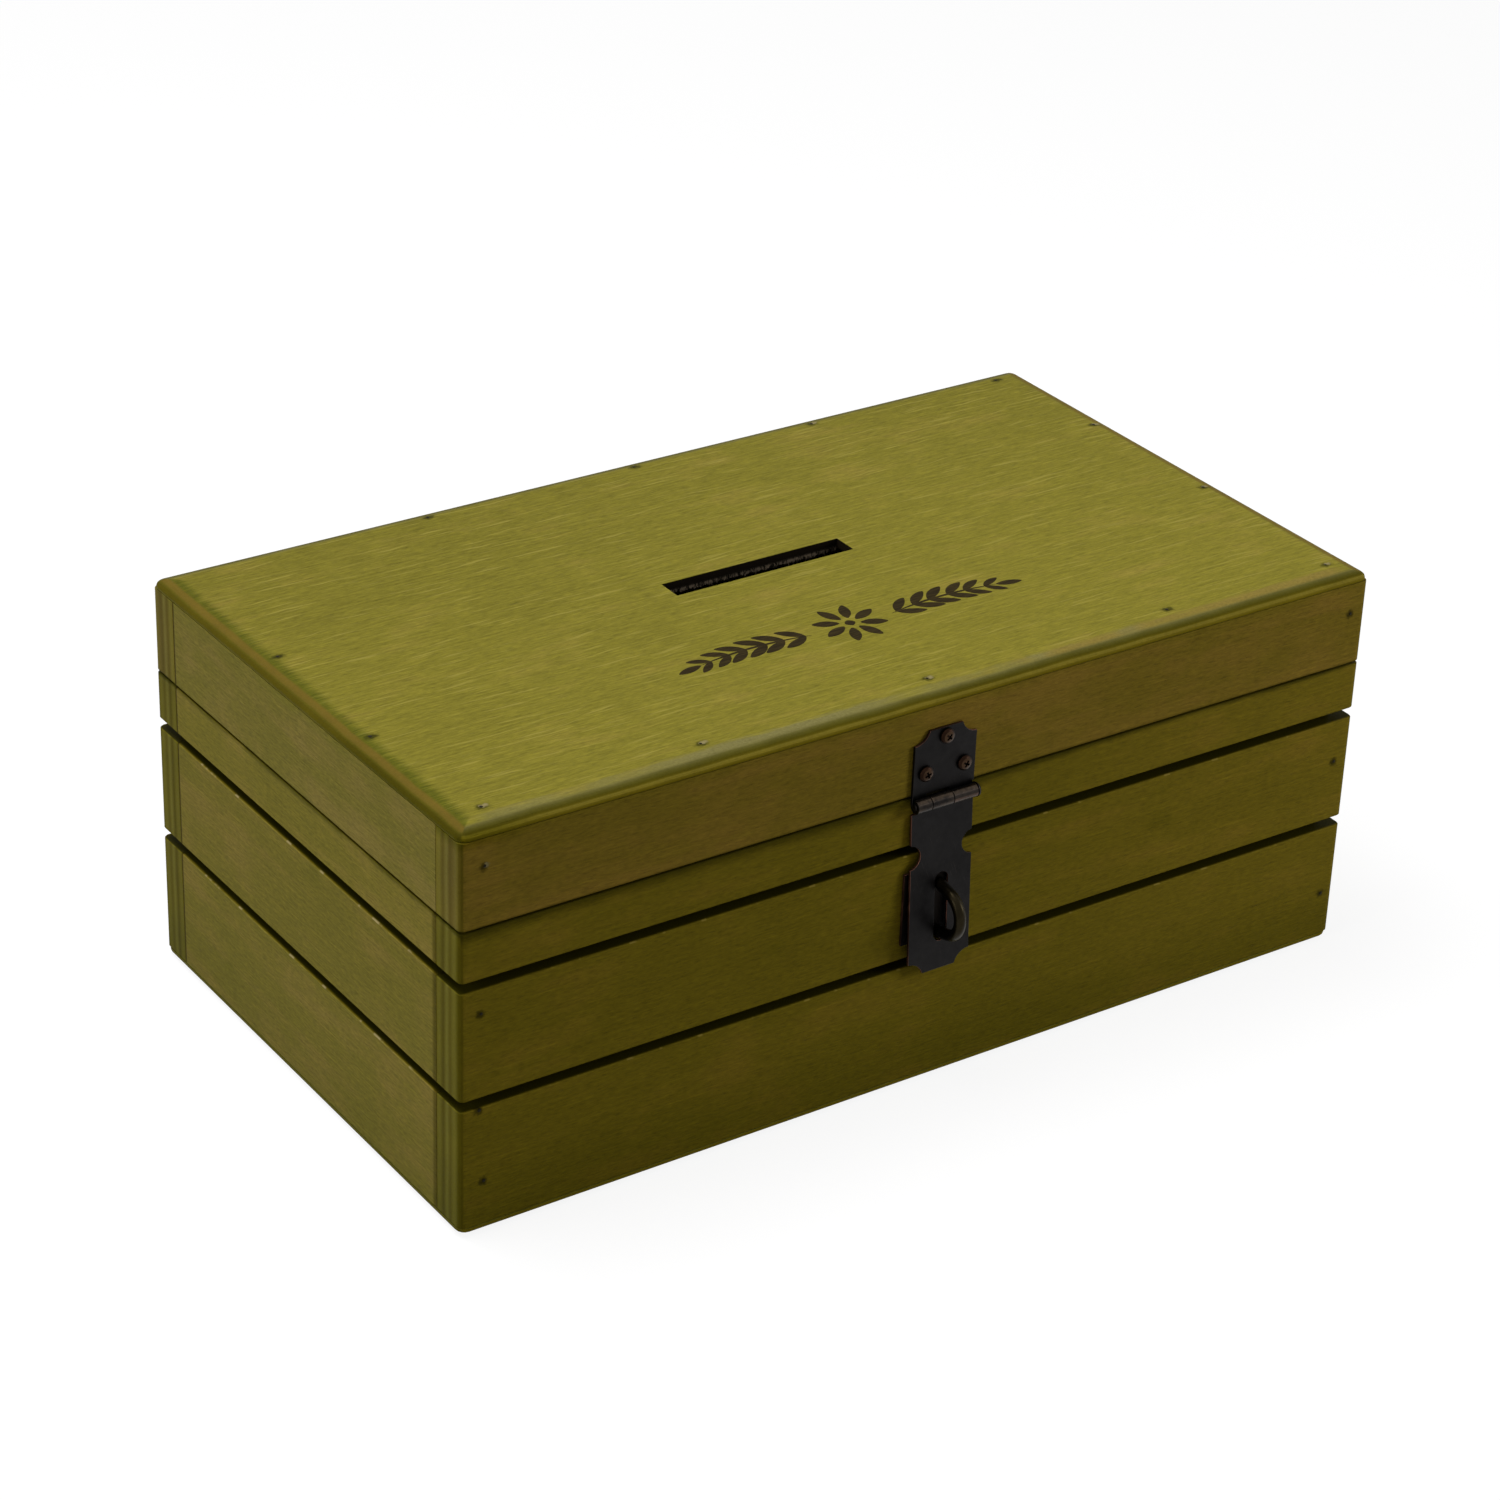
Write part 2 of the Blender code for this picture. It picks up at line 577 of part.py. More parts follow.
def build_staple(bronze):
    """The staple's plate, and the wire loop that stands out of it through the arm's slot. The wire's
    legs splay a little towards the plate, and end in thinner tenons that pass through it."""
    half_x, half_z = STAPLE_PLATE_WIDTH / 2, STAPLE_PLATE_HEIGHT / 2
    shape = bmesh.new()
    low = (STAPLE_PLATE_SIDE_SHIFT - half_x, SHEET_FRONT_Y, STAPLE_PLATE_Z - half_z)
    high = (STAPLE_PLATE_SIDE_SHIFT + half_x, FRONT_Y - HARDWARE_GAP, STAPLE_PLATE_Z + half_z)
    add_block(shape, low, high)
    plate = add_object("staple_plate", mesh_from("staple_plate", shape), material=bronze)

    back, neck = FRONT_Y - HARDWARE_GAP, SHEET_FRONT_Y - HARDWARE_GAP
    shoulder = neck - STAPLE_TENON_SHOULDER
    straight = shoulder - STAPLE_BEND_Y
    spread = STAPLE_BEND_RADIUS / math.cos(STAPLE_SPLAY) + straight * math.tan(STAPLE_SPLAY)
    start, sweep = math.pi / 2 - STAPLE_SPLAY, 2 * STAPLE_SPLAY - math.pi
    bend = arc((0, 0), STAPLE_BEND_RADIUS, start, sweep, STAPLE_ARC_SEGMENTS)
    thin = STAPLE_TENON_RADIUS / STAPLE_WIRE_RADIUS
    leg = [(back, spread, thin), (neck, spread, thin), (shoulder, spread, 1)]
    route = leg + [(STAPLE_BEND_Y - out, rise, 1) for out, rise in bend]
    route += [(y, -rise, girth) for y, rise, girth in reversed(leg)]
    wire = bpy.data.curves.new("staple_loop", "CURVE")
    wire.dimensions = "3D"
    line = wire.splines.new("POLY")
    line.points.add(len(route) - 1)
    for point, (y, rise, girth) in zip(line.points, route):
        point.co = (STAPLE_SHIFT, y, STAPLE_Z + rise, 1)
        point.radius = girth
    wire.bevel_depth = STAPLE_WIRE_RADIUS
    wire.bevel_resolution = 4
    wire.use_fill_caps = True
    add_object("staple_loop", wire, material=bronze)

    holes = bmesh.new()
    for side in (-1, 1):
        leg_z = STAPLE_Z + side * spread
        hole = [(STAPLE_SHIFT, y, leg_z) for y in (SHEET_FRONT_Y - CUT_OVERRUN, FRONT_Y + CUT_OVERRUN)]
        add_rod(holes, *hole, STAPLE_TENON_RADIUS + STAPLE_TENON_CLEARANCE, ROUND_SIDES)
    cut([plate], "staple_plate_leg_holes", holes)
    return plate


def build_hinge(name, x, bronze):
    """One back hinge: a leaf on the box with the outer knuckles, a leaf on the lid with the middle one,
    and the pin through them."""
    axis = LID_AXIS + Vector((x, 0, 0))
    radius = HINGE_BARREL_RADIUS
    half, middle = HINGE_WIDTH / 2, HINGE_MIDDLE_KNUCKLE / 2
    reach = radius + CUT_OVERRUN
    leaves = []
    for part, up in (("box_leaf", -1), ("lid_leaf", 1)):
        title = f"{name}_{part}"
        data = rolled_leaf(title, HINGE_WIDTH, radius, 1, up, HINGE_LEAF_RUN)
        leaf = add_object(title, data, axis, material=bronze)
        low, high = sorted((-up * reach, up * (radius + NOTCH_CLEARANCE)))
        gaps = bmesh.new()
        if part == "box_leaf":
            clear = middle + KNUCKLE_GAP
            add_block(gaps, (-clear, -reach, low), (clear, reach, high))
        else:
            wide = half + CUT_OVERRUN
            add_block(gaps, (-wide, -reach, low), (-middle, reach, high))
            add_block(gaps, (middle, -reach, low), (wide, reach, high))
        cut([leaf], title + "_gaps", gaps, axis)
        clips = [(0, up * HINGE_LEAF_RUN, HINGE_CORNER_CLIP)]
        cut_outline(leaf, title + "_corner_clips", HINGE_WIDTH, clips, axis)
        leaves.append(leaf)
    shape = bmesh.new()
    pin_radius = radius - SHEET - PIN_CLEARANCE
    length = HINGE_WIDTH + 2 * PIN_END_PROUD
    add_turned(shape, [(0, 0), (pin_radius, 0), (pin_radius, length), (0, length)], ROUND_SIDES)
    title = name + "_pin"
    place = axis - Vector((length / 2, 0, 0))
    add_object(title, mesh_from(title, shape, smooth=True), place, (0, math.pi / 2, 0), bronze)
    return leaves


def screw_places(middle_x, spread, y, z):
    return [Vector((middle_x + side * spread, y, z)) for side in (-1, 1)]


def main():
    clear_scene()
    wood = finish("green_stained_plywood", (0.235, 0.205, 0.032), 0.55, 0)
    bronze = finish("antique_bronze", (0.05, 0.04, 0.035), 0.45, 0.9)
    copper = finish("copper_brown_screw", (0.12, 0.06, 0.035), 0.4, 0.9)
    front_wall, back_wall = build_box(wood)[:2]
    rims, top = build_lid(wood)
    front_rim, back_rim = rims[:2]
    pan = screw_mesh("pan_head_screw", True)
    flat = screw_mesh("flat_head_screw", False)
    lid_pieces = rims + [top]

    plate = build_hasp_plate(bronze)
    arm = build_hasp_arm(bronze)
    low, high = HASP_AXIS.z + HASP_SCREW_LOW_RISE, HASP_AXIS.z + HASP_SCREW_TOP_RISE
    places = [Vector((0, SHEET_FRONT_Y, high))] + screw_places(0, HASP_SCREW_SPREAD, SHEET_FRONT_Y, low)
    lid_pieces += [plate, build_hasp_pin(bronze)]
    hosts = [plate, front_rim]
    lid_pieces += add_screws("hasp_screw", pan, places, -1, True, hosts, copper, HASP_SCREW_TURNS)

    staple_plate = build_staple(bronze)
    places = screw_places(STAPLE_PLATE_SIDE_SHIFT, STAPLE_SCREW_SPREAD, SHEET_FRONT_Y, STAPLE_PLATE_Z)
    add_screws("staple_screw", flat, places, -1, False, [staple_plate, front_wall], copper)

    sheet_y = BACK_Y + HARDWARE_GAP + SHEET
    for name, x in (("left_hinge", -HINGE_X), ("right_hinge", HINGE_X)):
        box_leaf, lid_leaf = build_hinge(name, x, bronze)
        places = screw_places(x, HINGE_SCREW_SPREAD, sheet_y, SEAM_Z - HINGE_SCREW_RUN)
        add_screws(box_leaf.name + "_screw", flat, places, 1, False, [box_leaf, back_wall], copper)
        places = screw_places(x, HINGE_SCREW_SPREAD, sheet_y, SEAM_Z + HINGE_SCREW_RUN)
        screws = add_screws(lid_leaf.name + "_screw", flat, places, 1, False, [lid_leaf, back_rim], copper)
        lid_pieces += [lid_leaf] + screws

    lid_axis = axis_empty("lid_axis", LID_AXIS)
    hasp_axis = axis_empty("hasp_axis", HASP_AXIS)
    hang(hasp_axis, lid_axis)
    hang(arm, hasp_axis)
    for piece in lid_pieces:
        hang(piece, lid_axis)


main()
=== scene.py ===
"""The looks of a tip box: green-stained plywood, a burnt note slot and ornament, and a bronzed hasp.

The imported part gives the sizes, and each operator dresses one group of pieces. Lengths are in metres,
+Z is up, and the front faces -Y. Colours are linear.
"""

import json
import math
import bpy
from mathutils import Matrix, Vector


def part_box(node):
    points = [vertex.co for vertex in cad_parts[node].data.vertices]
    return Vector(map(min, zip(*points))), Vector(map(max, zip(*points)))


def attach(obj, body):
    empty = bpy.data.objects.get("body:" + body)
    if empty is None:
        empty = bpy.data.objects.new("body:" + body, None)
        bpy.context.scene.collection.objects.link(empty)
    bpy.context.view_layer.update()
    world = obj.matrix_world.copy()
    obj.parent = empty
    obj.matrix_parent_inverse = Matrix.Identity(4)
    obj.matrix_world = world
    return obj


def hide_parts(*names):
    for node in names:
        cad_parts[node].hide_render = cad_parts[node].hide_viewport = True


bl_info = {
    "name": "Tip Box Looks",
    "version": (1, 0, 0),
    "blender": (4, 5, 0),
    "location": "3D View > Sidebar > Tip Box",
    "description": "Dresses a plywood tip box with stain, burnt marks, brads and bronzed hardware",
    "category": "Object",
}

import bmesh
import bpy
import numpy as np
from bpy.props import FloatProperty, FloatVectorProperty, IntProperty, PointerProperty
from mathutils import Matrix, Vector

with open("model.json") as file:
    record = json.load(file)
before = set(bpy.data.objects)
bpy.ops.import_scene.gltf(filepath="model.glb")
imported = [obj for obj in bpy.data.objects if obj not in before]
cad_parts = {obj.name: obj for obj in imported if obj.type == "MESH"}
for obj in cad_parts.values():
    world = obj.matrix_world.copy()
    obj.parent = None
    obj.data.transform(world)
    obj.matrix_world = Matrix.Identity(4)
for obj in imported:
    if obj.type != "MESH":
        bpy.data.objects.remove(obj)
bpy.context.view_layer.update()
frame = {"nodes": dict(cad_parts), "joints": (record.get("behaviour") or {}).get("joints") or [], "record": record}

FRONT_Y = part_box("front_wall")[0].y
BACK_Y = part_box("back_wall")[1].y
HALF_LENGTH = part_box("front_wall")[1].x
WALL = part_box("front_wall")[1].y - FRONT_Y
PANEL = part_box("bottom_board")[1].z
TOP_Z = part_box("lid_top")[1].z
SEAM_Z = (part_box("front_wall")[1].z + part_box("lid_front_rim")[0].z) / 2
# The saw grooves: how far below the seam they lie, half their width, and their depth
GROOVE_DROPS = (0.0165, 0.0523)
GROOVE_HALF = 0.0015
GROOVE_DEPTH = 0.005
# The note slot: half its length and half its width, and how far it lies behind the lid's middle
SLOT_HALF = (0.03, 0.0041)
SLOT_SHIFT = 0.0053
MM = 0.001
# Edges sharper than this are rounded on the hardware
SHARP = math.radians(35)

# Stops across the plies: depth from the outer face in millimetres, then the colour there. The walls'
# 12 mm boards come first, then the lid rim's.
WALL_PLIES = (
    (0.0, (0.150, 0.111, 0.007)), (1.3, (0.150, 0.117, 0.006)), (2.2, (0.204, 0.168, 0.017)),
    (2.9, (0.242, 0.194, 0.028)), (3.7, (0.227, 0.186, 0.026)), (4.8, (0.163, 0.127, 0.010)),
    (5.3, (0.166, 0.130, 0.012)), (6.6, (0.261, 0.217, 0.041)), (7.2, (0.231, 0.191, 0.032)),
    (8.3, (0.133, 0.101, 0.005)), (8.8, (0.136, 0.105, 0.006)), (10.2, (0.222, 0.182, 0.023)),
    (11.2, (0.227, 0.183, 0.022)), (11.8, (0.190, 0.153, 0.013)), (12.0, (0.082, 0.062, 0.003)),
)
RIM_PLIES = (
    (0.0, (0.150, 0.110, 0.008)), (0.7, (0.188, 0.133, 0.016)), (1.6, (0.264, 0.200, 0.043)),
    (2.3, (0.262, 0.196, 0.048)), (3.6, (0.221, 0.157, 0.037)), (4.8, (0.168, 0.119, 0.022)),
    (5.4, (0.186, 0.132, 0.026)), (6.6, (0.301, 0.235, 0.065)), (7.4, (0.269, 0.204, 0.050)),
    (8.3, (0.186, 0.134, 0.023)), (8.8, (0.190, 0.138, 0.024)), (10.2, (0.297, 0.232, 0.046)),
    (11.8, (0.283, 0.219, 0.034)), (12.0, (0.166, 0.130, 0.016)),
)
# The same through the thin boards: first on the front and back edges, then on the left and right ones
# Over the front and back edges' rounding the first stops darken partly as painted shade, where the rounding turns
# from the light, and partly from the darker ply
PANEL_PLIES = (
    (0.0, (0.200, 0.172, 0.045)), (0.10, (0.162, 0.144, 0.039)), (0.20, (0.127, 0.113, 0.027)),
    (0.32, (0.101, 0.089, 0.016)), (0.45, (0.086, 0.075, 0.009)), (0.72, (0.073, 0.061, 0.003)),
    (0.88, (0.079, 0.062, 0.002)), (1.0, (0.107, 0.084, 0.005)), (1.2, (0.181, 0.143, 0.016)),
    (1.6, (0.222, 0.171, 0.016)), (2.0, (0.237, 0.183, 0.011)), (2.4, (0.212, 0.159, 0.003)),
    (2.7, (0.200, 0.146, 0.003)),
)
PANEL_END_PLIES = (
    (0.0, (0.110, 0.098, 0.009)), (0.06, (0.115, 0.099, 0.008)), (0.14, (0.150, 0.107, 0.013)),
    (0.30, (0.158, 0.107, 0.014)), (0.60, (0.140, 0.102, 0.012)), (0.85, (0.098, 0.081, 0.005)),
    (1.1, (0.083, 0.066, 0.003)), (1.6, (0.092, 0.073, 0.003)), (2.1, (0.115, 0.095, 0.006)),
    (2.4, (0.150, 0.125, 0.016)), (2.7, (0.190, 0.160, 0.028)),
)

# Shares of the colour left, as red, green and blue: where stain gathers, at dark marks and joints, and where shade
# and light are painted
POOLED_ON_ENDS = (0.34, 0.36, 0.16)
UPPER_STRIP = (1.07, 1.07, 1.05)
PAINTED_LIGHT_TO_RIGHT = (1.10, 1.08, 1.22)
FOOT = (0.70, 0.74, 0.55)
BLOT = (0.72, 0.78, 0.55)
CROWN = (0.84, 0.92, 0.62)
CORNER = (0.72, 0.76, 0.55)
PAINTED_SHADE_BY_BARREL = (0.15, 0.14, 0.20)
FRONT_JOINT = (0.46, 0.45, 0.20)
BACK_JOINT = (0.25, 0.22, 0.12)
FRONT_LEFT = (0.72, 0.75, 0.35)
PAINTED_SHADE_ON_GROOVE_LIP = (0.70, 0.72, 0.50)
BRAD_HOLE = (0.24, 0.25, 0.14)

# Kinds of board: material, kind, tint, share of brown patches, seed of the grain, and its nodes
BOARDS = (
    ("stained_long_walls", "wall", (0.96, 0.8, 0.37), 0.45, 0.1, ("front_wall", "back_wall")),
    ("stained_end_walls", "end_wall", (1.01, 0.93, 1.05), 0.6, 0.3, ("left_end_wall", "right_end_wall")),
    ("stained_long_rims", "rim", (1.11, 0.86, 0.65), 0.65, 0.5, ("lid_front_rim", "lid_back_rim")),
    ("stained_end_rims", "end_rim", (1.04, 0.97, 1.28), 0.6, 0.7, ("lid_left_rim", "lid_right_rim")),
    ("stained_lid_top", "top", (0.985, 0.945, 0.9), 0.4, 0.9, ("lid_top",)),
    ("stained_bottom", "bottom", (0.9, 0.9, 0.9), 0.45, 1.1, ("bottom_board",)),
)

# Brads, in millimetres, with 1 where torn fibres show pale: on the top board as x and y, and on the
# front of the walls and of the lid rim as x and z
TOP_BRADS = (
    (-142.5, 24.0, 0), (-143.3, -28.0, 0), (-137.5, -74.5, 1), (-71.5, -74.5, 1), (1.3, -74.5, 1),
    (84.0, -74.5, 0), (142.0, -75.0, 1), (145.5, -16.0, 1), (145.5, 36.5, 1), (140.0, 79.0, 0),
    (70.5, 80.0, 1), (6.4, 80.0, 0), (-64.0, 80.0, 0),
)
WALL_BRADS = ((-143.8, 67.9, 0), (-144.3, 38.7, 0), (-142.9, 16.4, 0), (144.4, 61.7, 0), (145.2, 16.9, 0))
RIM_BRADS = ((-142.8, 111.2, 1), (144.2, 109.8, 0))
BRADS = {"top": TOP_BRADS, "bottom": TOP_BRADS, "wall": WALL_BRADS, "rim": RIM_BRADS}
# Along a brad's head: the share of its radius and the height over the board
BRAD_HEAD = ((1.0, -0.0003), (1.0, 0.00001), (0.85, 0.00005), (0.4, 0.00008))
# On the top, the heads sit this many millimetres left of the middles of their marks
HEAD_SHIFT = 0.5

# Burnt wood, pale and dark, for the splinters and for the ornament
SPLINTERS = ((0.27, 0.21, 0.145), (0.006, 0.005, 0.003))
SCORCHED = ((0.042, 0.030, 0.010), (0.018, 0.012, 0.004))


def hue(name, description, default):
    """A colour to choose."""
    return FloatVectorProperty(name=name, description=description, subtype="COLOR", default=default)


def span(name, description, default, low, high):
    """A length to choose."""
    unit = {"subtype": "DISTANCE", "unit": "LENGTH"}
    return FloatProperty(name=name, description=description, default=default, min=low, max=high, **unit)


class TipBoxStain(bpy.types.PropertyGroup):
    """Colours and grain of the stained plywood."""

    green: hue("Green stain", "Stain where it soaked in well", (0.210, 0.190, 0.024))
    brown: hue("Brown patches", "Birch that shows through the stain", (0.246, 0.202, 0.036))
    # The sanded rim is a painted sheen: the highlight along the top's rounded front edge, laid on as colour
    sheen: hue("Sanded rim", "Pale wood on the top's sanded edges", (0.200, 0.178, 0.068))
    worn: hue("Worn rim", "Brown wood on the top's worn edges", (0.245, 0.175, 0.040))
    chip: hue("Chips", "Bare chips along the lower lips of the grooves", (0.420, 0.370, 0.150))
    torn: hue("Torn fibres", "Pale fibres round some of the brads", (0.330, 0.275, 0.125))
    streak: hue("Pale streaks", "Thin pale streaks along the top's grain", (0.380, 0.320, 0.068))
    soaked: hue("Soaked ends", "Share of the colour left at the top's soaked ends", (0.52, 0.60, 0.36))
    pooled: hue("Pooled stain", "Share of the colour left where stain pooled", (0.26, 0.28, 0.05))
    # groove and kerf colour the insides of the saw grooves: painted shade deep down and painted light in the upper
    # part
    groove: hue("Saw groove", "Wood deep in the saw grooves", (0.036, 0.031, 0.001))
    kerf: hue("Groove top", "Wood in the upper part of the grooves", (0.150, 0.125, 0.006))
    burnt: hue("Burnt wood", "Char in the note slot", (0.010, 0.007, 0.004))
    streaks: FloatProperty(
        name="Streaks", description="How strongly the grain's streaks show", subtype="FACTOR",
        default=0.95, min=0, max=1.5,
    )


class TipBoxHardware(bpy.types.PropertyGroup):
    """Colours of the hasp, staple, hinges and screws."""

    bronze: hue("Antique bronze", "Dark plating", (0.0097, 0.0090, 0.0088))
    bare: hue("Bare edge", "Copper at sheared edges", (0.190, 0.088, 0.062))
    # This colour also gives the painted highlight bands on the hasp's barrel
    rubbed: hue("Rubbed metal", "Plating worn bright on the barrel", (0.052, 0.038, 0.027))
    screw: hue("Screw", "Copper brown plating", (0.015, 0.0075, 0.0045))
    softening: span("Softened edges", "How wide edges are rounded", 0.00012, 0.00002, 0.0003)


class TipBoxMarks(bpy.types.PropertyGroup):
    """Sizes of the burnt ornament and of the small marks."""

    ornament_length: span("Ornament length", "Length of the sprig along the lid", 0.116, 0.05, 0.2)
    ornament_y: span("Ornament place", "Where the sprig lies in front of the slot", -0.0368, -0.065, -0.02)
    leaf_pairs: IntProperty(
        name="Leaf pairs", description="Pairs of leaves on each half of the sprig", default=6, min=2, max=12
    )
    brad_radius: span("Brad radius", "Radius of a brad's head", 0.00045, 0.0003, 0.0015)


class TipBoxStage(bpy.types.PropertyGroup):
    """The floor, the lamps and the camera."""

    overhead: FloatProperty(name="Overhead lamp", description="Its power", unit="POWER", default=18.4)
    side: FloatProperty(name="Lamp on the left", description="Its power", unit="POWER", default=4.3)
    front: FloatProperty(name="Lamp at the front right", description="Its power", unit="POWER", default=3.15)
    fill: FloatProperty(name="Fill", description="Light from all round", default=0.12, min=0, max=1)
    lens: FloatProperty(name="Lens", description="Its focal length", unit="CAMERA", default=97.01)


class Field:
    """A number or a colour that varies over a surface: the output of a node, with arithmetic."""

    def __init__(self, bench, socket):
        self.bench = bench
        self.socket = socket

    def __add__(self, other):
        return self.bench.math("ADD", self, other)

    def __sub__(self, other):
        return self.bench.math("SUBTRACT", self, other)

    def __rsub__(self, other):
        return self.bench.math("SUBTRACT", other, self)

    def __mul__(self, other):
        return self.bench.math("MULTIPLY", self, other)

    def __truediv__(self, other):
        return self.bench.math("DIVIDE", self, other)

    def __abs__(self):
        return self.bench.math("ABSOLUTE", self)

    def step(self, low, high):
        """A smooth step from 0 at low to 1 at high."""
        values = (self, low, high, 0.0, 1.0)
        return self.bench.field("ShaderNodeMapRange", *values, interpolation_type="SMOOTHSTEP")

    def fade(self, low, high):
        """A smooth step from 1 at low to 0 at high."""
        return 1.0 - self.step(low, high)

    def around(self, middle, half, soft):
        """1 within half of the middle, falling smoothly to 0 over soft beyond it."""
        return abs(self - middle).fade(half, half + soft)

    def shade(self, mask, share):
        """A colour, multiplied by a share of itself where the mask is 1."""
        return self.bench.blend(mask, self, self.bench.multiply(self, share))


class Bench:
    """Builds the nodes of its owner, which is a material or a world."""

    def __init__(self, owner, shader="Principled BSDF"):
        owner.use_nodes = True
        self.owner = owner
        self.tree = owner.node_tree
        self.shader = self.tree.nodes[shader]

    def feed(self, socket, value):
        """Joins a field to an input, or sets the input to a number, a colour or a point."""
        if isinstance(value, Field):
            self.tree.links.new(value.socket, socket)
        elif socket.type == "RGBA":
            socket.default_value = (*value[:3], 1)
        else:
            socket.default_value = value

    def finish(self, **values):
        """Feeds inputs of the shader. Underscores in their names stand for spaces."""
        for name, value in values.items():
            self.feed(self.shader.inputs[name.replace("_", " ")], value)

    def node(self, kind, *values, **settings):
        node = self.tree.nodes.new(kind)
        for key, value in settings.items():
            setattr(node, key, value)
        for socket, value in zip(node.inputs, values):
            self.feed(socket, value)
        return node

    def field(self, kind, *values, out=0, **settings):
        """Adds a node, and returns one of its outputs."""
        return Field(self, self.node(kind, *values, **settings).outputs[out])

    def math(self, operation, *values, clamp=False):
        return self.field("ShaderNodeMath", *values, operation=operation, use_clamp=clamp)

    def least(self, first, second):
        return self.math("MINIMUM", first, second)

    def blend(self, factor, low, high, kind="MIX"):
        node = self.node("ShaderNodeMix", data_type="RGBA", blend_type=kind)
        for index, value in ((0, factor), (6, low), (7, high)):
            self.feed(node.inputs[index], value)
        return Field(self, node.outputs[2])

    def multiply(self, first, second):
        """The product of two colours."""
        return self.blend(1.0, first, second, "MULTIPLY")

    def lit(self, colour, light):
        """The colour times a number."""
        return self.multiply(colour, self.point(light, light, light))

    def point(self, *values):
        return self.field("ShaderNodeCombineXYZ", *values)

    def axes(self):
        """The object's own coordinates, as x, y and z."""
        place = self.field("ShaderNodeTexCoord", out="Object")
        return [Field(self, output) for output in self.node("ShaderNodeSeparateXYZ", place).outputs]

    def attribute(self, name):
        return self.field("ShaderNodeAttribute", out="Fac", attribute_name=name)

    def noise(self, place, cells, detail=2.0, roughness=0.5, distortion=0.0):
        """Noise between 0 and 1. cells is how many there are in a metre, on all axes or on each."""
        counts = (cells,) * 3 if isinstance(cells, int) else cells
        scaled = [self.math("MULTIPLY", value, count) for value, count in zip(place, counts)]
        node = self.node("ShaderNodeTexNoise", noise_dimensions="3D")
        self.feed(node.inputs["Vector"], self.point(*scaled))
        names = ("Scale", "Detail", "Roughness", "Distortion")
        for name, value in zip(names, (1.0, detail, roughness, distortion)):
            self.feed(node.inputs[name], value)
        return Field(self, node.outputs[0])

    def ramp(self, value, stops):
        node = self.node("ShaderNodeValToRGB", value)
        elements = node.color_ramp.elements
        while len(elements) < len(stops):
            elements.new(1.0)
        for element, (place, tone) in zip(elements, stops):
            element.position = place
            element.color = (*tone, 1)
        return Field(self, node.outputs[0])

    def bump(self, height, distance):
        node = self.node("ShaderNodeBump")
        self.feed(node.inputs["Distance"], distance)
        self.feed(node.inputs["Height"], height)
        self.finish(Normal=Field(self, node.outputs[0]))

    def seen(self):
        """1 for rays from the camera and from glossy and clear surfaces, and 0 for the rest."""
        rays = ("Is Camera Ray", "Is Glossy Ray", "Is Transmission Ray")
        camera, glossy, clear = (self.field("ShaderNodeLightPath", out=ray) for ray in rays)
        return self.math("ADD", camera + glossy, clear, clamp=True)


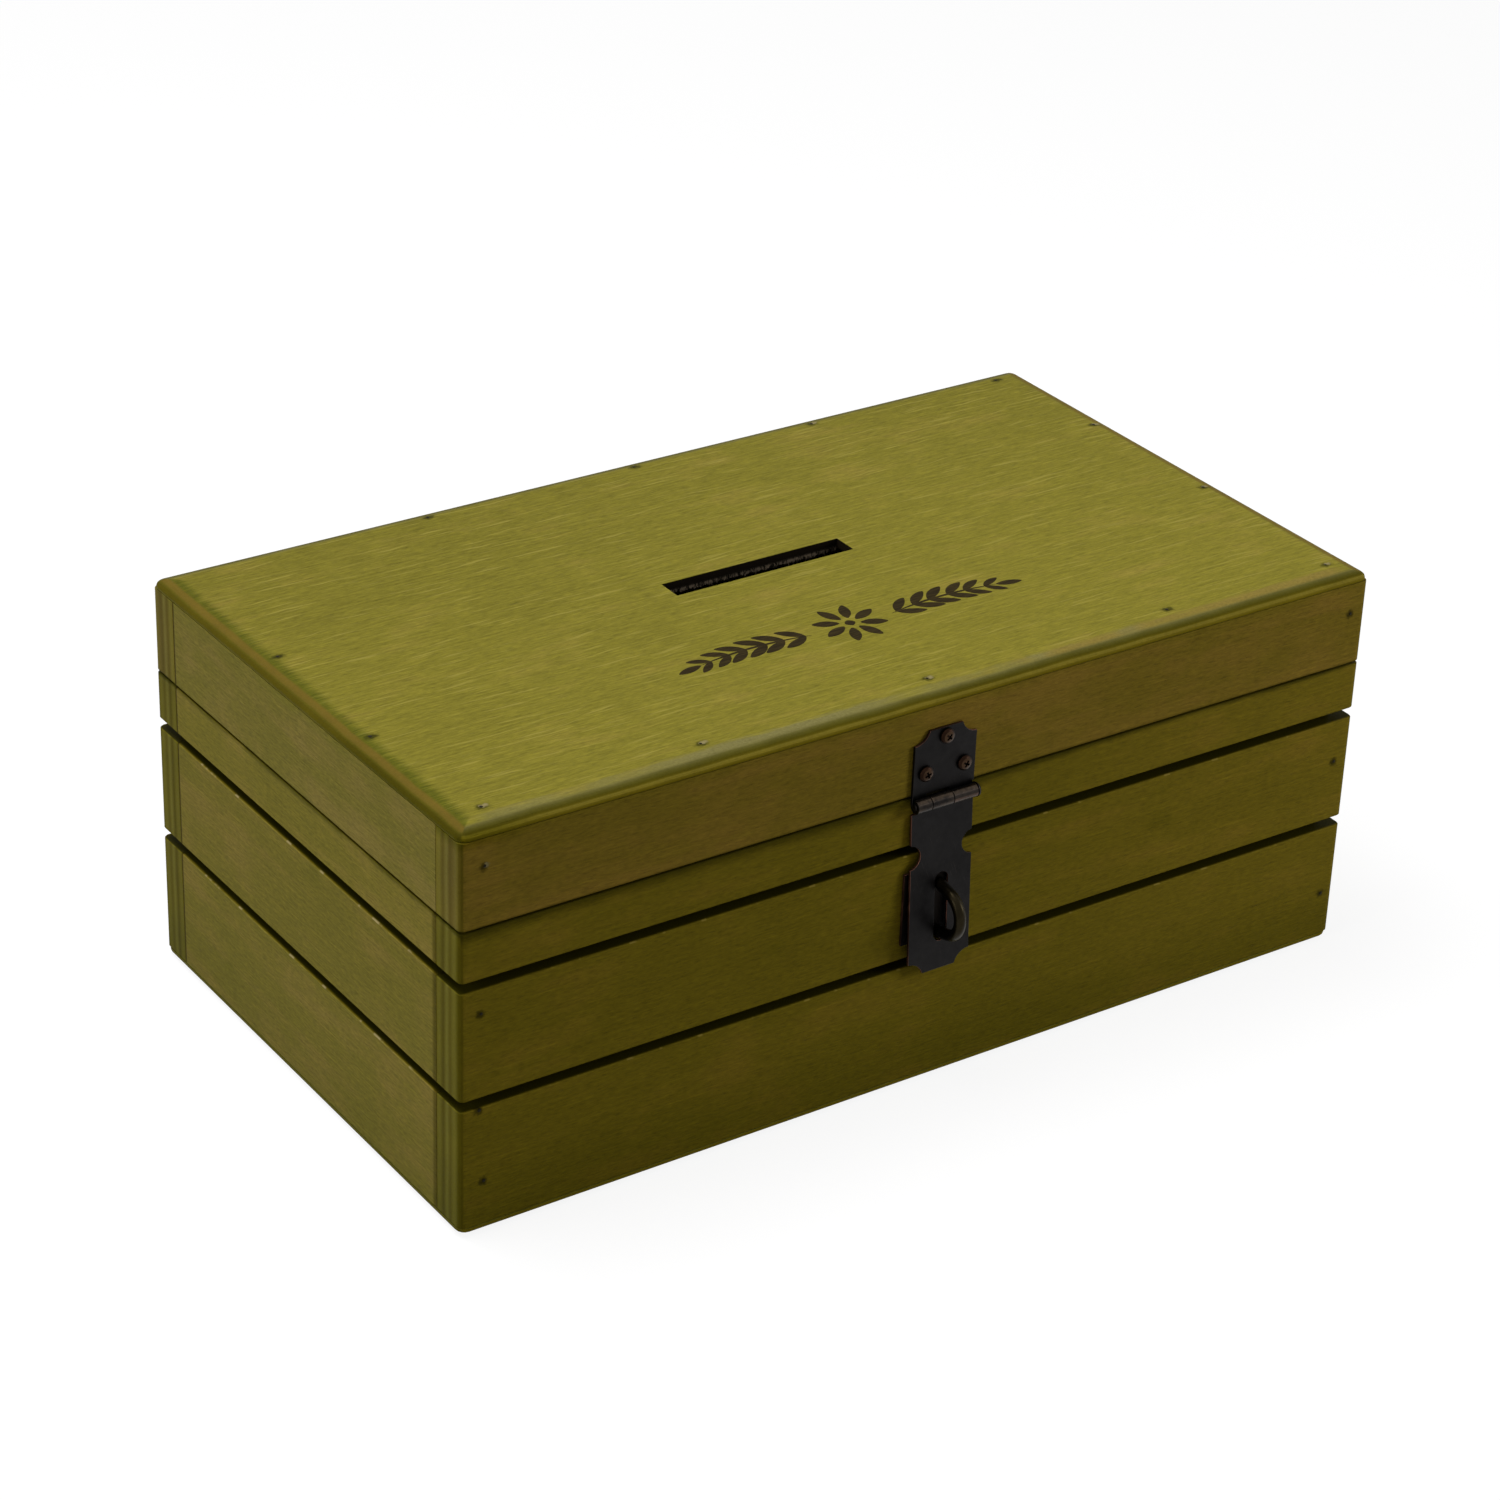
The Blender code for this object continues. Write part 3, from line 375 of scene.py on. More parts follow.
class StainedBoard(Bench):
    """Stained plywood, painted in coats: the face veneer, the plies at the edges, the stain that pooled there, the
    marks of saw and brads, and some painted light and shade. kind is wall, rim, end_wall, end_rim, top or bottom."""

    def __init__(self, name, kind, tint, brown_share, seed):
        super().__init__(bpy.data.materials.new(name))
        self.stain = bpy.context.scene.tip_box_stain
        self.kind, self.tint, self.brown_share, self.seed = kind, tint, brown_share, seed
        x, y, z = self.x, self.y, self.z = self.here = self.axes()
        self.to_end, self.to_side = HALF_LENGTH - abs(x), BACK_Y - abs(y)
        self.flat = kind in ("top", "bottom")
        if self.flat:
            board = (x, y, TOP_Z - z if kind == "top" else z, PANEL)
        elif kind in ("wall", "rim"):
            board = (x, z, self.to_side, WALL)
        else:
            board = (y, z, self.to_end, WALL)
        self.along, self.across, self.depth, self.thick = board
        self.seeded = (x, y, z + seed)
        self.cloud = self.noise(self.seeded, 38, 3.0, 0.6)
        self.speck = self.noise(self.here, 1100, 2.0, 0.7)
        self.fine = self.grain(420, 2300, 3.0, 0.72)
        self.fibres = self.grain(120, 1150, 3.0, 0.62)
        self.pores = self.grain(230, 3000, 1.0).step(0.62, 0.76)

    def grain(self, lengthwise, crosswise, *settings):
        """Noise drawn out along the grain. It has as many cells in a metre of depth as across it."""
        place = (self.along, self.across, self.depth + self.seed)
        return self.noise(place, (lengthwise, crosswise, crosswise), *settings)

    def veneer(self):
        """Green stain with brown patches, made lighter and darker by fibres, pores, cracks and flecks. On the top,
        painted light towards the front and painted shade to the left and the back.
        """
        stain, top = self.stain, self.kind == "top"
        broad = self.grain(11, 110, 3.0, 0.55, 0.5)
        patches = broad * 0.5 + self.cloud * 0.5
        lower = self.brown_share * 0.3
        brown = patches.step(0.62 - lower, 0.84 - lower)
        face = self.multiply(self.blend(brown, stain.green, stain.brown), self.tint)
        fine_share, fibre_share = (1.15, 1.1) if self.flat else (1.4, 0.75)
        light = (self.fine - 0.5) * (stain.streaks * fine_share) + 1.0
        light = light + (self.fibres - 0.5) * (stain.streaks * fibre_share)
        light = light + (patches - 0.5) * 0.36
        cracks = self.grain(20, 1500, 1.0).step(0.765, 0.8)
        light = light - self.pores * 0.16 - cracks * 0.3
        # Painted light and shade on the top: lighter towards the front, darker to the left and the back
        if top:
            painted_light_to_front, painted_shade_to_back = self.y.step(0.07, -0.08), self.y.step(0.02, 0.08)
            painted_shade_to_left = self.x.step(0.03, -0.07)
            light = light + painted_light_to_front * 0.09 - painted_shade_to_left * 0.06 - painted_shade_to_back * 0.05
        flecks = self.grain(42, 1500, 1.0).step(0.6, 0.78)
        light = light + flecks * (0.1 if top else 0.22)
        face = self.lit(face, light)
        if top:
            wavering = self.y + self.cloud * 0.004
            lines = self.noise((self.x, wavering, self.seed), (52, 1000, 1), 1.0, 0.4)
            face = self.blend(lines.step(0.6, 0.74) * 0.45, face, stain.streak)
        return face

    def soaked_sheened_and_worn_edges(self, face, at_end):
        """A thin board's face near its edges: dark and ragged where the left end soaked up stain, and a pale
        painted sheen along the front that gives way to worn brown further right. at_end is 1 nearest to an end."""
        inset = self.least(self.to_end, self.to_side)
        ragged = inset + (self.fibres - 0.5) * 0.003 + (self.cloud - 0.5) * 0.0026
        near_end = at_end * self.x.step(0.12, -0.06)
        face = face.shade(near_end * ragged.fade(0.0042, 0.008), self.stain.soaked)
        patchy = self.noise(self.here, 22).step(0.26, 0.5)
        # Painted sheen along the front edge, giving way to worn brown further right
        sheen = (1.0 - at_end) * ragged.around(0.0044, 0.0014, 0.002) * patchy
        sheen = sheen * (self.y.step(0.0, -0.03) * self.to_end.step(0.003, 0.012))
        rightward = (self.x + (self.cloud - 0.5) * 0.25).step(0.02, 0.08)
        rubbed = self.blend(rightward, self.stain.sheen, self.stain.worn)
        return self.blend(sheen * 0.8, face, self.lit(rubbed, self.speck * 0.9 + 0.55))

    def with_plies(self, face):
        """The face, and past its softened edges the plies, which waver and are finely speckled."""
        wander = self.noise(self.here, 60)
        wavy = self.depth + (wander - 0.5) * (0.00045 if self.flat else 0.0006)
        share = wavy / self.thick

        def plies(stops):
            return self.ramp(share, [(place * MM / self.thick, tone) for place, tone in stops])

        if self.flat:
            at_end = (self.to_side - self.to_end).step(-0.0005, 0.0005)
            edge = self.blend(at_end, plies(PANEL_PLIES), plies(PANEL_END_PLIES))
            face = self.soaked_sheened_and_worn_edges(face, at_end)
            off_face = self.depth.step(0.00003, 0.00022)
        else:
            edge = plies(WALL_PLIES if "wall" in self.kind else RIM_PLIES)
            off_face = self.depth.step(0.00006, 0.0003)
        segment = self.noise(self.here, 80, 1.0)
        edge = self.lit(edge, self.speck * 0.4 + segment * 0.3 + 0.65)
        off_back = self.depth.fade(self.thick - 0.0002, self.thick - 0.00005)
        return self.blend(off_face * off_back, face, edge)

    def pooled_on_wall(self, colour):
        """Stain pools below the seam, less so to the right and at the ends. The walls are darker towards the foot.
        """
        long = self.kind == "wall"
        below = SEAM_Z - self.z + (self.cloud - 0.5) * 0.0024
        if long:
            narrower = self.x.step(0.015, 0.06) * 1.3 + self.to_end.step(0.0006, 0.0001) * 2.2
            below = below * (narrower + 1.0)
        pooled = below.fade(0.0, 0.0044 if long else 0.002)
        colour = colour.shade(pooled * 0.9, self.stain.pooled if long else POOLED_ON_ENDS)
        if not long:
            colour = colour.shade(self.z.step(SEAM_Z - 0.018, SEAM_Z - 0.016), UPPER_STRIP)
        foot = self.z.fade(0.004, 0.028)
        colour = colour.shade(foot * (0.7 if long else 0.4), FOOT)
        blots = self.noise(self.seeded, 55).step(0.66, 0.78)
        return colour.shade(blots * 0.5, BLOT)

    def pooled_on_rim(self, colour):
        """Stain pools just above the seam, and faintly below the top board."""
        pooled = (self.z - SEAM_Z).fade(0.0002, 0.0013)
        colour = colour.shade(pooled * (0.8 if self.kind == "rim" else 0.4), self.stain.pooled)
        to_top = (TOP_Z - PANEL) - self.z + (self.cloud - 0.5) * 0.0024
        return colour.shade(to_top.fade(0.0, 0.0034) * 0.4, CROWN)

    def long_side_marks(self, colour):
        """Dark corners, and painted shade round the hasp's barrel. The wall has painted light to the right."""
        colour = colour.shade(self.to_end.fade(0.0002, 0.0016), CORNER)
        # Painted shade on the wood behind and round the hasp's barrel
        barrel = self.x.around(0.0, 0.0065, 0.0012) * self.z.around(SEAM_Z + 0.0004, 0.002, 0.0012)
        barrel = barrel * self.depth.step(0.001, 0.0004)
        colour = colour.shade(barrel * self.y.step(0.0, -0.01), PAINTED_SHADE_BY_BARREL)
        # Painted light: the long wall is lighter towards its right end
        if self.kind == "wall":
            colour = colour.shade(self.x.step(0.02, 0.09), PAINTED_LIGHT_TO_RIGHT)
        return colour

    def end_joints(self, colour):
        """Dark lines where an end board meets the front and the back one."""
        if self.kind == "end_wall":
            joint = self.to_side.fade(WALL + 0.001, WALL + 0.0027)
            colour = colour.shade(joint * self.y.step(-0.04, -0.07), FRONT_JOINT)
        joint = self.to_side.fade(WALL + 0.0003, WALL + 0.001)
        return colour.shade(joint * self.y.step(0.04, 0.07), BACK_JOINT)

    def front_left_corner(self, colour):
        """The lid's front is darker at its left end, just below the top's face."""
        if self.flat:
            low = self.depth.step(0.0004, 0.0012)
        else:
            low = self.z.step(TOP_Z - 0.0065, TOP_Z - 0.003)
        front = self.y.step(0.0, -0.05) * self.x.step(-0.118, -0.146)
        return colour.shade(front * low, FRONT_LEFT)

    def saw_grooves(self, colour):
        """Stain and painted shade deep in the grooves, painted light in their upper part, painted shade on their
        upper lips, and bare chips along the lower ones. The marks end where a cut does, so that none shows on the
        inside."""
        outside = self.least(self.depth, self.to_end).step(GROOVE_DEPTH + 0.001, GROOVE_DEPTH + 0.0001)
        for drop in GROOVE_DROPS:
            middle = SEAM_Z - drop
            inside = self.z.around(middle, GROOVE_HALF, 0.0002) * self.depth.step(0.0001, 0.001)
            # Inside the cut: painted shade deep down, rising to painted light in the upper part
            rise = self.z.step(middle - 0.0014, middle + 0.0001)
            cut = self.blend(rise, self.stain.groove, self.stain.kerf)
            colour = self.blend(inside * outside, colour, cut)
            # Painted shade on the groove's upper lip
            lip = self.z.around(middle + GROOVE_HALF, 0.0001, 0.0006) * outside
            colour = colour.shade(lip * 0.8, PAINTED_SHADE_ON_GROOVE_LIP)
        chipped = self.noise((self.along, 0.0, self.seed), (230, 1, 1), 1.0).step(0.6, 0.68)
        for drop in GROOVE_DROPS:
            lip = self.z.around(SEAM_Z - drop - GROOVE_HALF - 0.00015, 0.00012, 0.0002) * chipped
            lip = lip * self.depth.fade(0.0002, 0.0006)
            colour = self.blend(lip * 0.7, colour, self.multiply(self.stain.chip, self.tint))
        return colour

    def nearest(self, brads, aside):
        """The distance to the nearest brad's mark, which lies a little aside from the brad. On the thin
        boards the marks are drawn out along the grain."""
        squeeze = 0.66 if self.flat else 1.0
        spot = self.point(self.along * squeeze, self.across, 0.0)
        least = None
        for column, row, pale in brads:
            place = ((column * MM + aside) * squeeze, row * MM + aside * 0.4, 0.0)
            gap = self.field("ShaderNodeVectorMath", spot, place, out="Value", operation="DISTANCE")
            least = self.least(least, gap) if least else gap
        return least

    def brad_marks(self, colour):
        """A dark hole round each brad, and pale torn fibres beside some."""
        brads = BRADS[self.kind]
        speckle = (self.noise(self.here, 900) - 0.5) * 0.0016
        outer = self.depth.step(0.0012, 0.0006)
        dark = (self.nearest(brads, -0.0003) + speckle).fade(0.0005, 0.0019)
        colour = colour.shade(outer * dark, BRAD_HOLE)
        torn = [brad for brad in brads if brad[2]]
        if torn:
            pale = (self.nearest(torn, 0.0005) + speckle).fade(0.0003, 0.0011)
            colour = self.blend(outer * pale * 0.8, colour, self.stain.torn)
        return colour

    def charred_slot(self, colour):
        """Char on the walls of the note slot."""
        in_x = self.x.around(0.0, SLOT_HALF[0] + 0.0001, 0.0004)
        in_y = self.y.around(SLOT_SHIFT, SLOT_HALF[1] + 0.0001, 0.0004)
        return self.blend(in_x * in_y * self.depth.step(0.00002, 0.0002), colour, self.stain.burnt)

    def paint(self):
        """Lays on the coats in order, and returns the finished material."""
        coats = {
            "wall": (self.pooled_on_wall, self.long_side_marks, self.saw_grooves, self.brad_marks),
            "end_wall": (self.pooled_on_wall, self.end_joints, self.saw_grooves),
            "rim": (self.pooled_on_rim, self.long_side_marks, self.front_left_corner, self.brad_marks),
            "end_rim": (self.pooled_on_rim, self.end_joints),
            "top": (self.front_left_corner, self.brad_marks, self.charred_slot),
            "bottom": (self.brad_marks,),
        }
        colour = self.with_plies(self.veneer())
        for lay_on in coats[self.kind]:
            colour = lay_on(colour)
        self.finish(Base_Color=colour, Roughness=self.fine * 0.18 + 0.5, Specular_IOR_Level=0.03)
        self.bump(self.fine * 0.6 - self.pores * 0.6, 0.00008)
        return self.owner


def bronze_metal(name, base, rubbed, bare, roughness):
    """Dark plating, mottled and finely scratched. The attribute bare says where sheared edges show copper, and
    on the screws where recesses are painted dark as shade; the other says where handling has worn the plating
    bright, and on the hasp's barrel where highlights are painted."""
    bench = Bench(bpy.data.materials.new(name))
    x, y, z = here = bench.axes()
    mottle = bench.noise(here, 420, 4.0, 0.65)
    cloud = bench.noise(here, 110)
    colour = bench.lit(base, mottle * 0.9 + cloud * 0.6 + 0.25)
    long = bench.noise((x + z * 0.35, y, z - x * 0.2), (5200, 500, 170), 1.0)
    fine = bench.noise((x - z * 0.5, y, z), (7000, 500, 260), 1.0)
    scratch = long.step(0.7, 0.82) + fine.step(0.68, 0.8) * 0.5
    colour = bench.blend(scratch * 0.16, colour, rubbed)
    rub_and_sheen = bench.attribute("rubbed")
    # Rubbed plating, and on the hasp's barrel painted highlights
    colour = bench.blend(rub_and_sheen * (mottle.step(0.3, 0.6) + 0.25), colour, rubbed)
    edge = bench.attribute("bare")
    colour = bench.blend(edge * (cloud.step(0.35, 0.62) * 0.75 + 0.25), colour, bare)
    bench.finish(Base_Color=colour, Metallic=1.0, Roughness=mottle * 0.22 + roughness - rub_and_sheen * 0.2)
    bench.bump(mottle * 0.4 - scratch, 0.00002)
    return bench.owner


def charred_wood(name, tones, paler_below=None):
    """Burnt marks and torn fibres: dark char with paler ash along the fibres. tones is the pale and
    the dark one. Below a height, where one is given, the char gives way to bare fibre ends."""
    pale, dark = tones
    bench = Bench(bpy.data.materials.new(name))
    here = bench.axes()
    fibre = bench.noise(here, (160, 1800, 900), 3.0, 0.6)
    if paler_below is None:
        share = fibre.step(0.35, 0.7)
    else:
        tips = bench.noise(here, (1500, 400, 500), 2.0, 0.7)
        share = here[2].fade(paler_below - 0.0005, paler_below + 0.0003) * tips.step(0.36, 0.6)
    colour = bench.blend(share, dark, pale)
    bench.finish(Base_Color=colour, Roughness=fibre * 0.3 + 0.55, Specular_IOR_Level=0.03)
    bench.bump(fibre, 0.00005)
    return bench.owner


def surface_from(name, sheets):
    """A mesh of closed shells. Each shell is a grid of points with one row for each step along a path
    and one column for each step round its section. The ends are closed by fans."""
    points, faces, count = [], [], 0
    for grid in sheets:
        rows, columns = grid.shape[:2]
        ring = np.arange(columns)
        start = np.arange(rows - 1)[:, None] * columns
        after = (ring + 1) % columns
        end = rows * columns
        last = end - columns
        quads = (start + ring, start + after, start + columns + after, start + columns + ring)
        for corners in (quads, (after, ring, end), (last + ring, last + after, end + 1)):
            joined = np.stack(np.broadcast_arrays(*corners), axis=-1).reshape(-1, len(corners))
            faces += (joined + count).tolist()
        points += [grid.reshape(-1, 3), grid[0].mean(0)[None], grid[-1].mean(0)[None]]
        count += end + 2
    data = bpy.data.meshes.new(name)
    data.from_pydata(np.concatenate(points).tolist(), [], faces)
    shape = bmesh.new()
    shape.from_mesh(data)
    bmesh.ops.remove_doubles(shape, verts=shape.verts, dist=1e-7)
    bmesh.ops.recalc_face_normals(shape, faces=shape.faces)
    shape.to_mesh(data)
    shape.free()
    data.shade_smooth()
    data.set_sharp_from_angle(angle=math.radians(50))
    return data


def tube_along(path, radii, sides, up=(0, 0, 1), flat=1.0):
    """Points of a tube. At each point of the path an ellipse stands square to the path: radius times the
    sideways direction times the cosine, plus radius times flat times the other one times the sine."""
    ahead = np.gradient(path, axis=0)
    ahead /= np.linalg.norm(ahead, axis=1, keepdims=True)
    sideways = np.cross(ahead, up)
    sideways /= np.linalg.norm(sideways, axis=1, keepdims=True)
    other = np.cross(sideways, ahead)
    angle = np.linspace(0, 2 * np.pi, sides, endpoint=False)[None, :, None]
    ellipse = np.cos(angle) * sideways[:, None] + flat * np.sin(angle) * other[:, None]
    return path[:, None] + radii[:, None, None] * ellipse


def turned_along_x(centre, profile, sides):
    """Points of a turned shape about a line along X: each profile point gives a place along X and a
    radius, and the radius sweeps a full circle in Y and Z."""
    place, radius = np.array(profile).T[:, :, None]
    angle = np.linspace(0, 2 * np.pi, sides, endpoint=False)
    grid = np.broadcast_arrays(place, radius * np.cos(angle), radius * np.sin(angle))
    return np.stack(grid, axis=-1) + centre


def coat(data, material):
    data.materials.clear()
    data.materials.append(material)


def linked(name, data):
    made = bpy.data.objects.new(name, data)
    bpy.context.scene.collection.objects.link(made)
    return made


def new_piece(name, data, material, body, replaced=()):
    """Links a finished mesh, gives it its material, and lets it ride on its body."""
    made = linked(name, data)
    coat(made.data, material)
    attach(made, body)
    if replaced:
        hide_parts(*replaced)
    return made


def set_wear(data, bare=0.0, rubbed=0.0):
    """Stores how bare and how rubbed the faces are, as one number or as one for each."""
    for name, values in (("bare", bare), ("rubbed", rubbed)):
        attribute = data.attributes.new(name, "FLOAT", "FACE")
        attribute.data.foreach_set("value", (np.zeros(len(data.polygons)) + values).astype(np.float32))


def face_arrays(data):
    """Centres and normals of a mesh's faces."""
    faces = data.polygons
    return np.array([face.center for face in faces]), np.array([face.normal for face in faces])


def softened_piece(node, end, wear, width, material, body):
    """A stand-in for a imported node, with its triangles joined up and its sharp edges rounded. wear is
    given the faces' centres and normals, and returns where they are bare and where they are rubbed."""
    shape = bmesh.new()
    shape.from_mesh(frame["nodes"][node].data)
    bmesh.ops.remove_doubles(shape, verts=shape.verts, dist=1e-6)
    bmesh.ops.dissolve_limit(shape, angle_limit=math.radians(0.5), verts=shape.verts, edges=shape.edges)
    data = bpy.data.meshes.new(node + end)
    shape.to_mesh(data)
    shape.free()
    data.shade_smooth()
    data.set_sharp_from_angle(angle=SHARP)
    set_wear(data, *wear(*face_arrays(data)))
    piece = new_piece(node + end, data, material, body, (node,))
    bevel = piece.modifiers.new("softened_edges", "BEVEL")
    bevel.width = width
    bevel.segments = 2
    bevel.limit_method = "ANGLE"
    bevel.angle_limit = SHARP
    bevel.use_clamp_overlap = True
    bevel.harden_normals = False


class TIPBOX_OT_stain_boards(bpy.types.Operator):
    """Stains the plywood boards of the box and the lid"""

    bl_idname = "tipbox.stain_boards"
    bl_label = "Stain the boards"

    def execute(self, context):
        for *look, nodes in BOARDS:
            material = StainedBoard(*look).paint()
            for node in nodes:
                coat(frame["nodes"][node].data, material)
        return {"FINISHED"}


class TIPBOX_OT_drive_brads(bpy.types.Operator):
    """Sets the small heads of the brads that hold the boards"""

    bl_idname = "tipbox.drive_brads"
    bl_label = "Drive the brads"

    def execute(self, context):
        radius = context.scene.tip_box_marks.brad_radius
        draw = np.random.default_rng(7)
        metal = bronze_metal("brad_steel", (0.012, 0.01, 0.005), (0.1, 0.09, 0.07), (0.05, 0.05, 0.05), 0.5)

        def heads(name, places, normal, body):
            """Each head is a low dome on a short shank: rings of the seeded radius times a share, each
            at its height along the normal."""
            across, normal = np.array((1.0, 0, 0)), np.asarray(normal, float)
            sideways = np.cross(normal, across)
            angle = np.linspace(0, 2 * np.pi, 14, endpoint=False)
            circle = np.cos(angle)[:, None] * across + np.sin(angle)[:, None] * sideways
            shells = []
            for place in places:
                ring = radius * draw.uniform(0.8, 1.2) * circle
                rings = [place + ring * share + normal * height for share, height in BRAD_HEAD]
                shells.append(np.stack(rings))
            data = surface_from(name, shells)
            set_wear(data)
            new_piece(name, data, metal, body)

        top = [((x - HEAD_SHIFT) * MM, y * MM, TOP_Z) for x, y, pale in TOP_BRADS]
        rim, wall = ([(x * MM, FRONT_Y, z * MM) for x, z, pale in brads] for brads in (RIM_BRADS, WALL_BRADS))
        heads("lid_brads", top, (0, 0, 1), "lid")
        heads("rim_brads", rim, (0, -1, 0), "lid")
        heads("wall_brads", wall, (0, -1, 0), "box")
        return {"FINISHED"}


class TIPBOX_OT_char_slot(bpy.types.Operator):
    """Hangs torn, charred fibres from the lower edge of the note slot"""

    bl_idname = "tipbox.char_slot"
    bl_label = "Char the note slot"

    def execute(self, context):
        """A ragged ribbon along the slot: its lower edge hangs by the product of two sines plus seeded
        noise, up to a longest tooth, and its section is a thin flat loop of four points at each step."""
        draw = np.random.default_rng(11)
        count, inset, thick, tooth, longest = 420, 0.0004, 0.00022, 0.0004, 0.0013
        x = np.linspace(-SLOT_HALF[0] + inset, SLOT_HALF[0] - inset, count)
        waves = np.abs(np.sin(x * 2600) * np.sin(x * 900))
        teeth = np.abs(draw.normal(0, 1, count)) * tooth + waves * tooth
        bottom = TOP_Z - PANEL
        y = SLOT_SHIFT + SLOT_HALF[1] - 0.00018 - 0.00012 * draw.random(count)
        low = bottom - 0.0005 - np.minimum(teeth, longest)
        high = np.full(count, bottom + 0.0004)
        loop = ((0.0, high), (0.0, low), (thick, low), (thick, high))
        rows = [np.stack([x, y + side, height], axis=-1) for side, height in loop]
        material = charred_wood("charred_fibres", SPLINTERS, bottom + 0.0002)
        data = surface_from("slot_splinters", [np.stack(rows, axis=1)])
        new_piece("slot_splinters", data, material, "lid")
        return {"FINISHED"}


class TIPBOX_OT_burn_ornament(bpy.types.Operator):
    """Burns a plain leafy sprig into the lid, in front of the note slot"""

    bl_idname = "tipbox.burn_ornament"
    bl_label = "Burn the ornament"

    def execute(self, context):
        marks = context.scene.tip_box_marks
        thickness, petals, stem_steps = 0.00003, 8, 40
        middle_x, middle_y = 0.002, marks.ornament_y
        shells = []

        def stroke(start, heading, length, width, bend=0.0, count=14):
            """A flat stroke: it runs from its start along a heading that turns evenly, and its half
            width is the width times the sine of the way along, to the power of 0.7."""
            along = np.linspace(0, 1, count)
            turn = heading + bend * along
            step = length / (count - 1)
            xs = start[0] + np.concatenate([[0], np.cumsum(np.cos(turn[:-1]) * step)])
            ys = start[1] + np.concatenate([[0], np.cumsum(np.sin(turn[:-1]) * step)])
            path = np.stack([xs, ys, np.full(count, TOP_Z)], axis=-1)
            radii = width * np.sin(np.pi * (0.02 + 0.96 * along)) ** 0.7
            shells.append(tube_along(path, radii, 10, flat=thickness / width))
            return path

        for index in range(petals):
            heading = index * 2 * math.pi / petals + math.pi / petals
            start = (middle_x + 0.003 * math.cos(heading), middle_y + 0.003 * math.sin(heading))
            stroke(start, heading, 0.0078, 0.0017)
        stroke((middle_x - 0.0016, middle_y), 0.0, 0.0032, 0.0016)
        for side in (-1, 1):
            heading = 0.0 if side > 0 else math.pi
            start = (middle_x + side * 0.0135, middle_y - 0.001)
            reach = marks.ornament_length / 2 - 0.0215
            stem = stroke(start, heading + side * 0.2, reach, 0.0005, -side * 0.4, stem_steps)
            for index in range(marks.leaf_pairs):
                share = (index + 0.35) / marks.leaf_pairs
                place = stem[round(share * (stem_steps - 1))]
                size = 0.8 + 0.35 * share - 0.6 * share * share
                turn = heading + side * (0.2 - 0.4 * share)
                for lean in (-1, 1):
                    stroke(place[:2], turn + lean * 0.72, 0.0108 * size, 0.0019 * size, -lean * 0.35)
            stroke(stem[-1][:2], heading - side * 0.2, 0.008, 0.0014)
        data = surface_from("lid_ornament", shells)
        material = charred_wood("burnt_ornament", SCORCHED)
        new_piece("lid_ornament", data, material, "lid")
        return {"FINISHED"}


def wear_hasp(centres, normals):
    """The hasp is bare on its sheared edges. Its barrel gets two bands of painted highlight, by how far a face
    leans up from the front, and shows a little copper on its lower right."""
    axis_z = frame["joints"][1]["pos_m"][2]
    barrel = np.abs(centres[:, 2] - axis_z) < 0.0022
    lean = np.degrees(np.arctan2(normals[:, 2], -normals[:, 1]))
    # Painted highlight: two bright bands round the barrel, set by how far each face leans up
    shine = 0.12 + 0.88 * np.exp(-(((lean - 60) / 20) ** 2)) + 0.6 * np.exp(-(((lean + 16) / 18) ** 2))
    copper = barrel & (lean < 0) & (lean > -60) & (centres[:, 0] > 0.003)
    sheared = (~barrel) & (np.abs(normals[:, 1]) < 0.5)
    return sheared + 0.25 * copper, barrel * shine


def wear_hinge(centres, normals):
    """A hinge leaf is rubbed on its barrel and bare on its sheared edges."""
    barrel = np.abs(centres[:, 2] - SEAM_Z) < 0.0019
    return (~barrel) & (np.abs(normals[:, 1]) < 0.5), barrel * 0.6


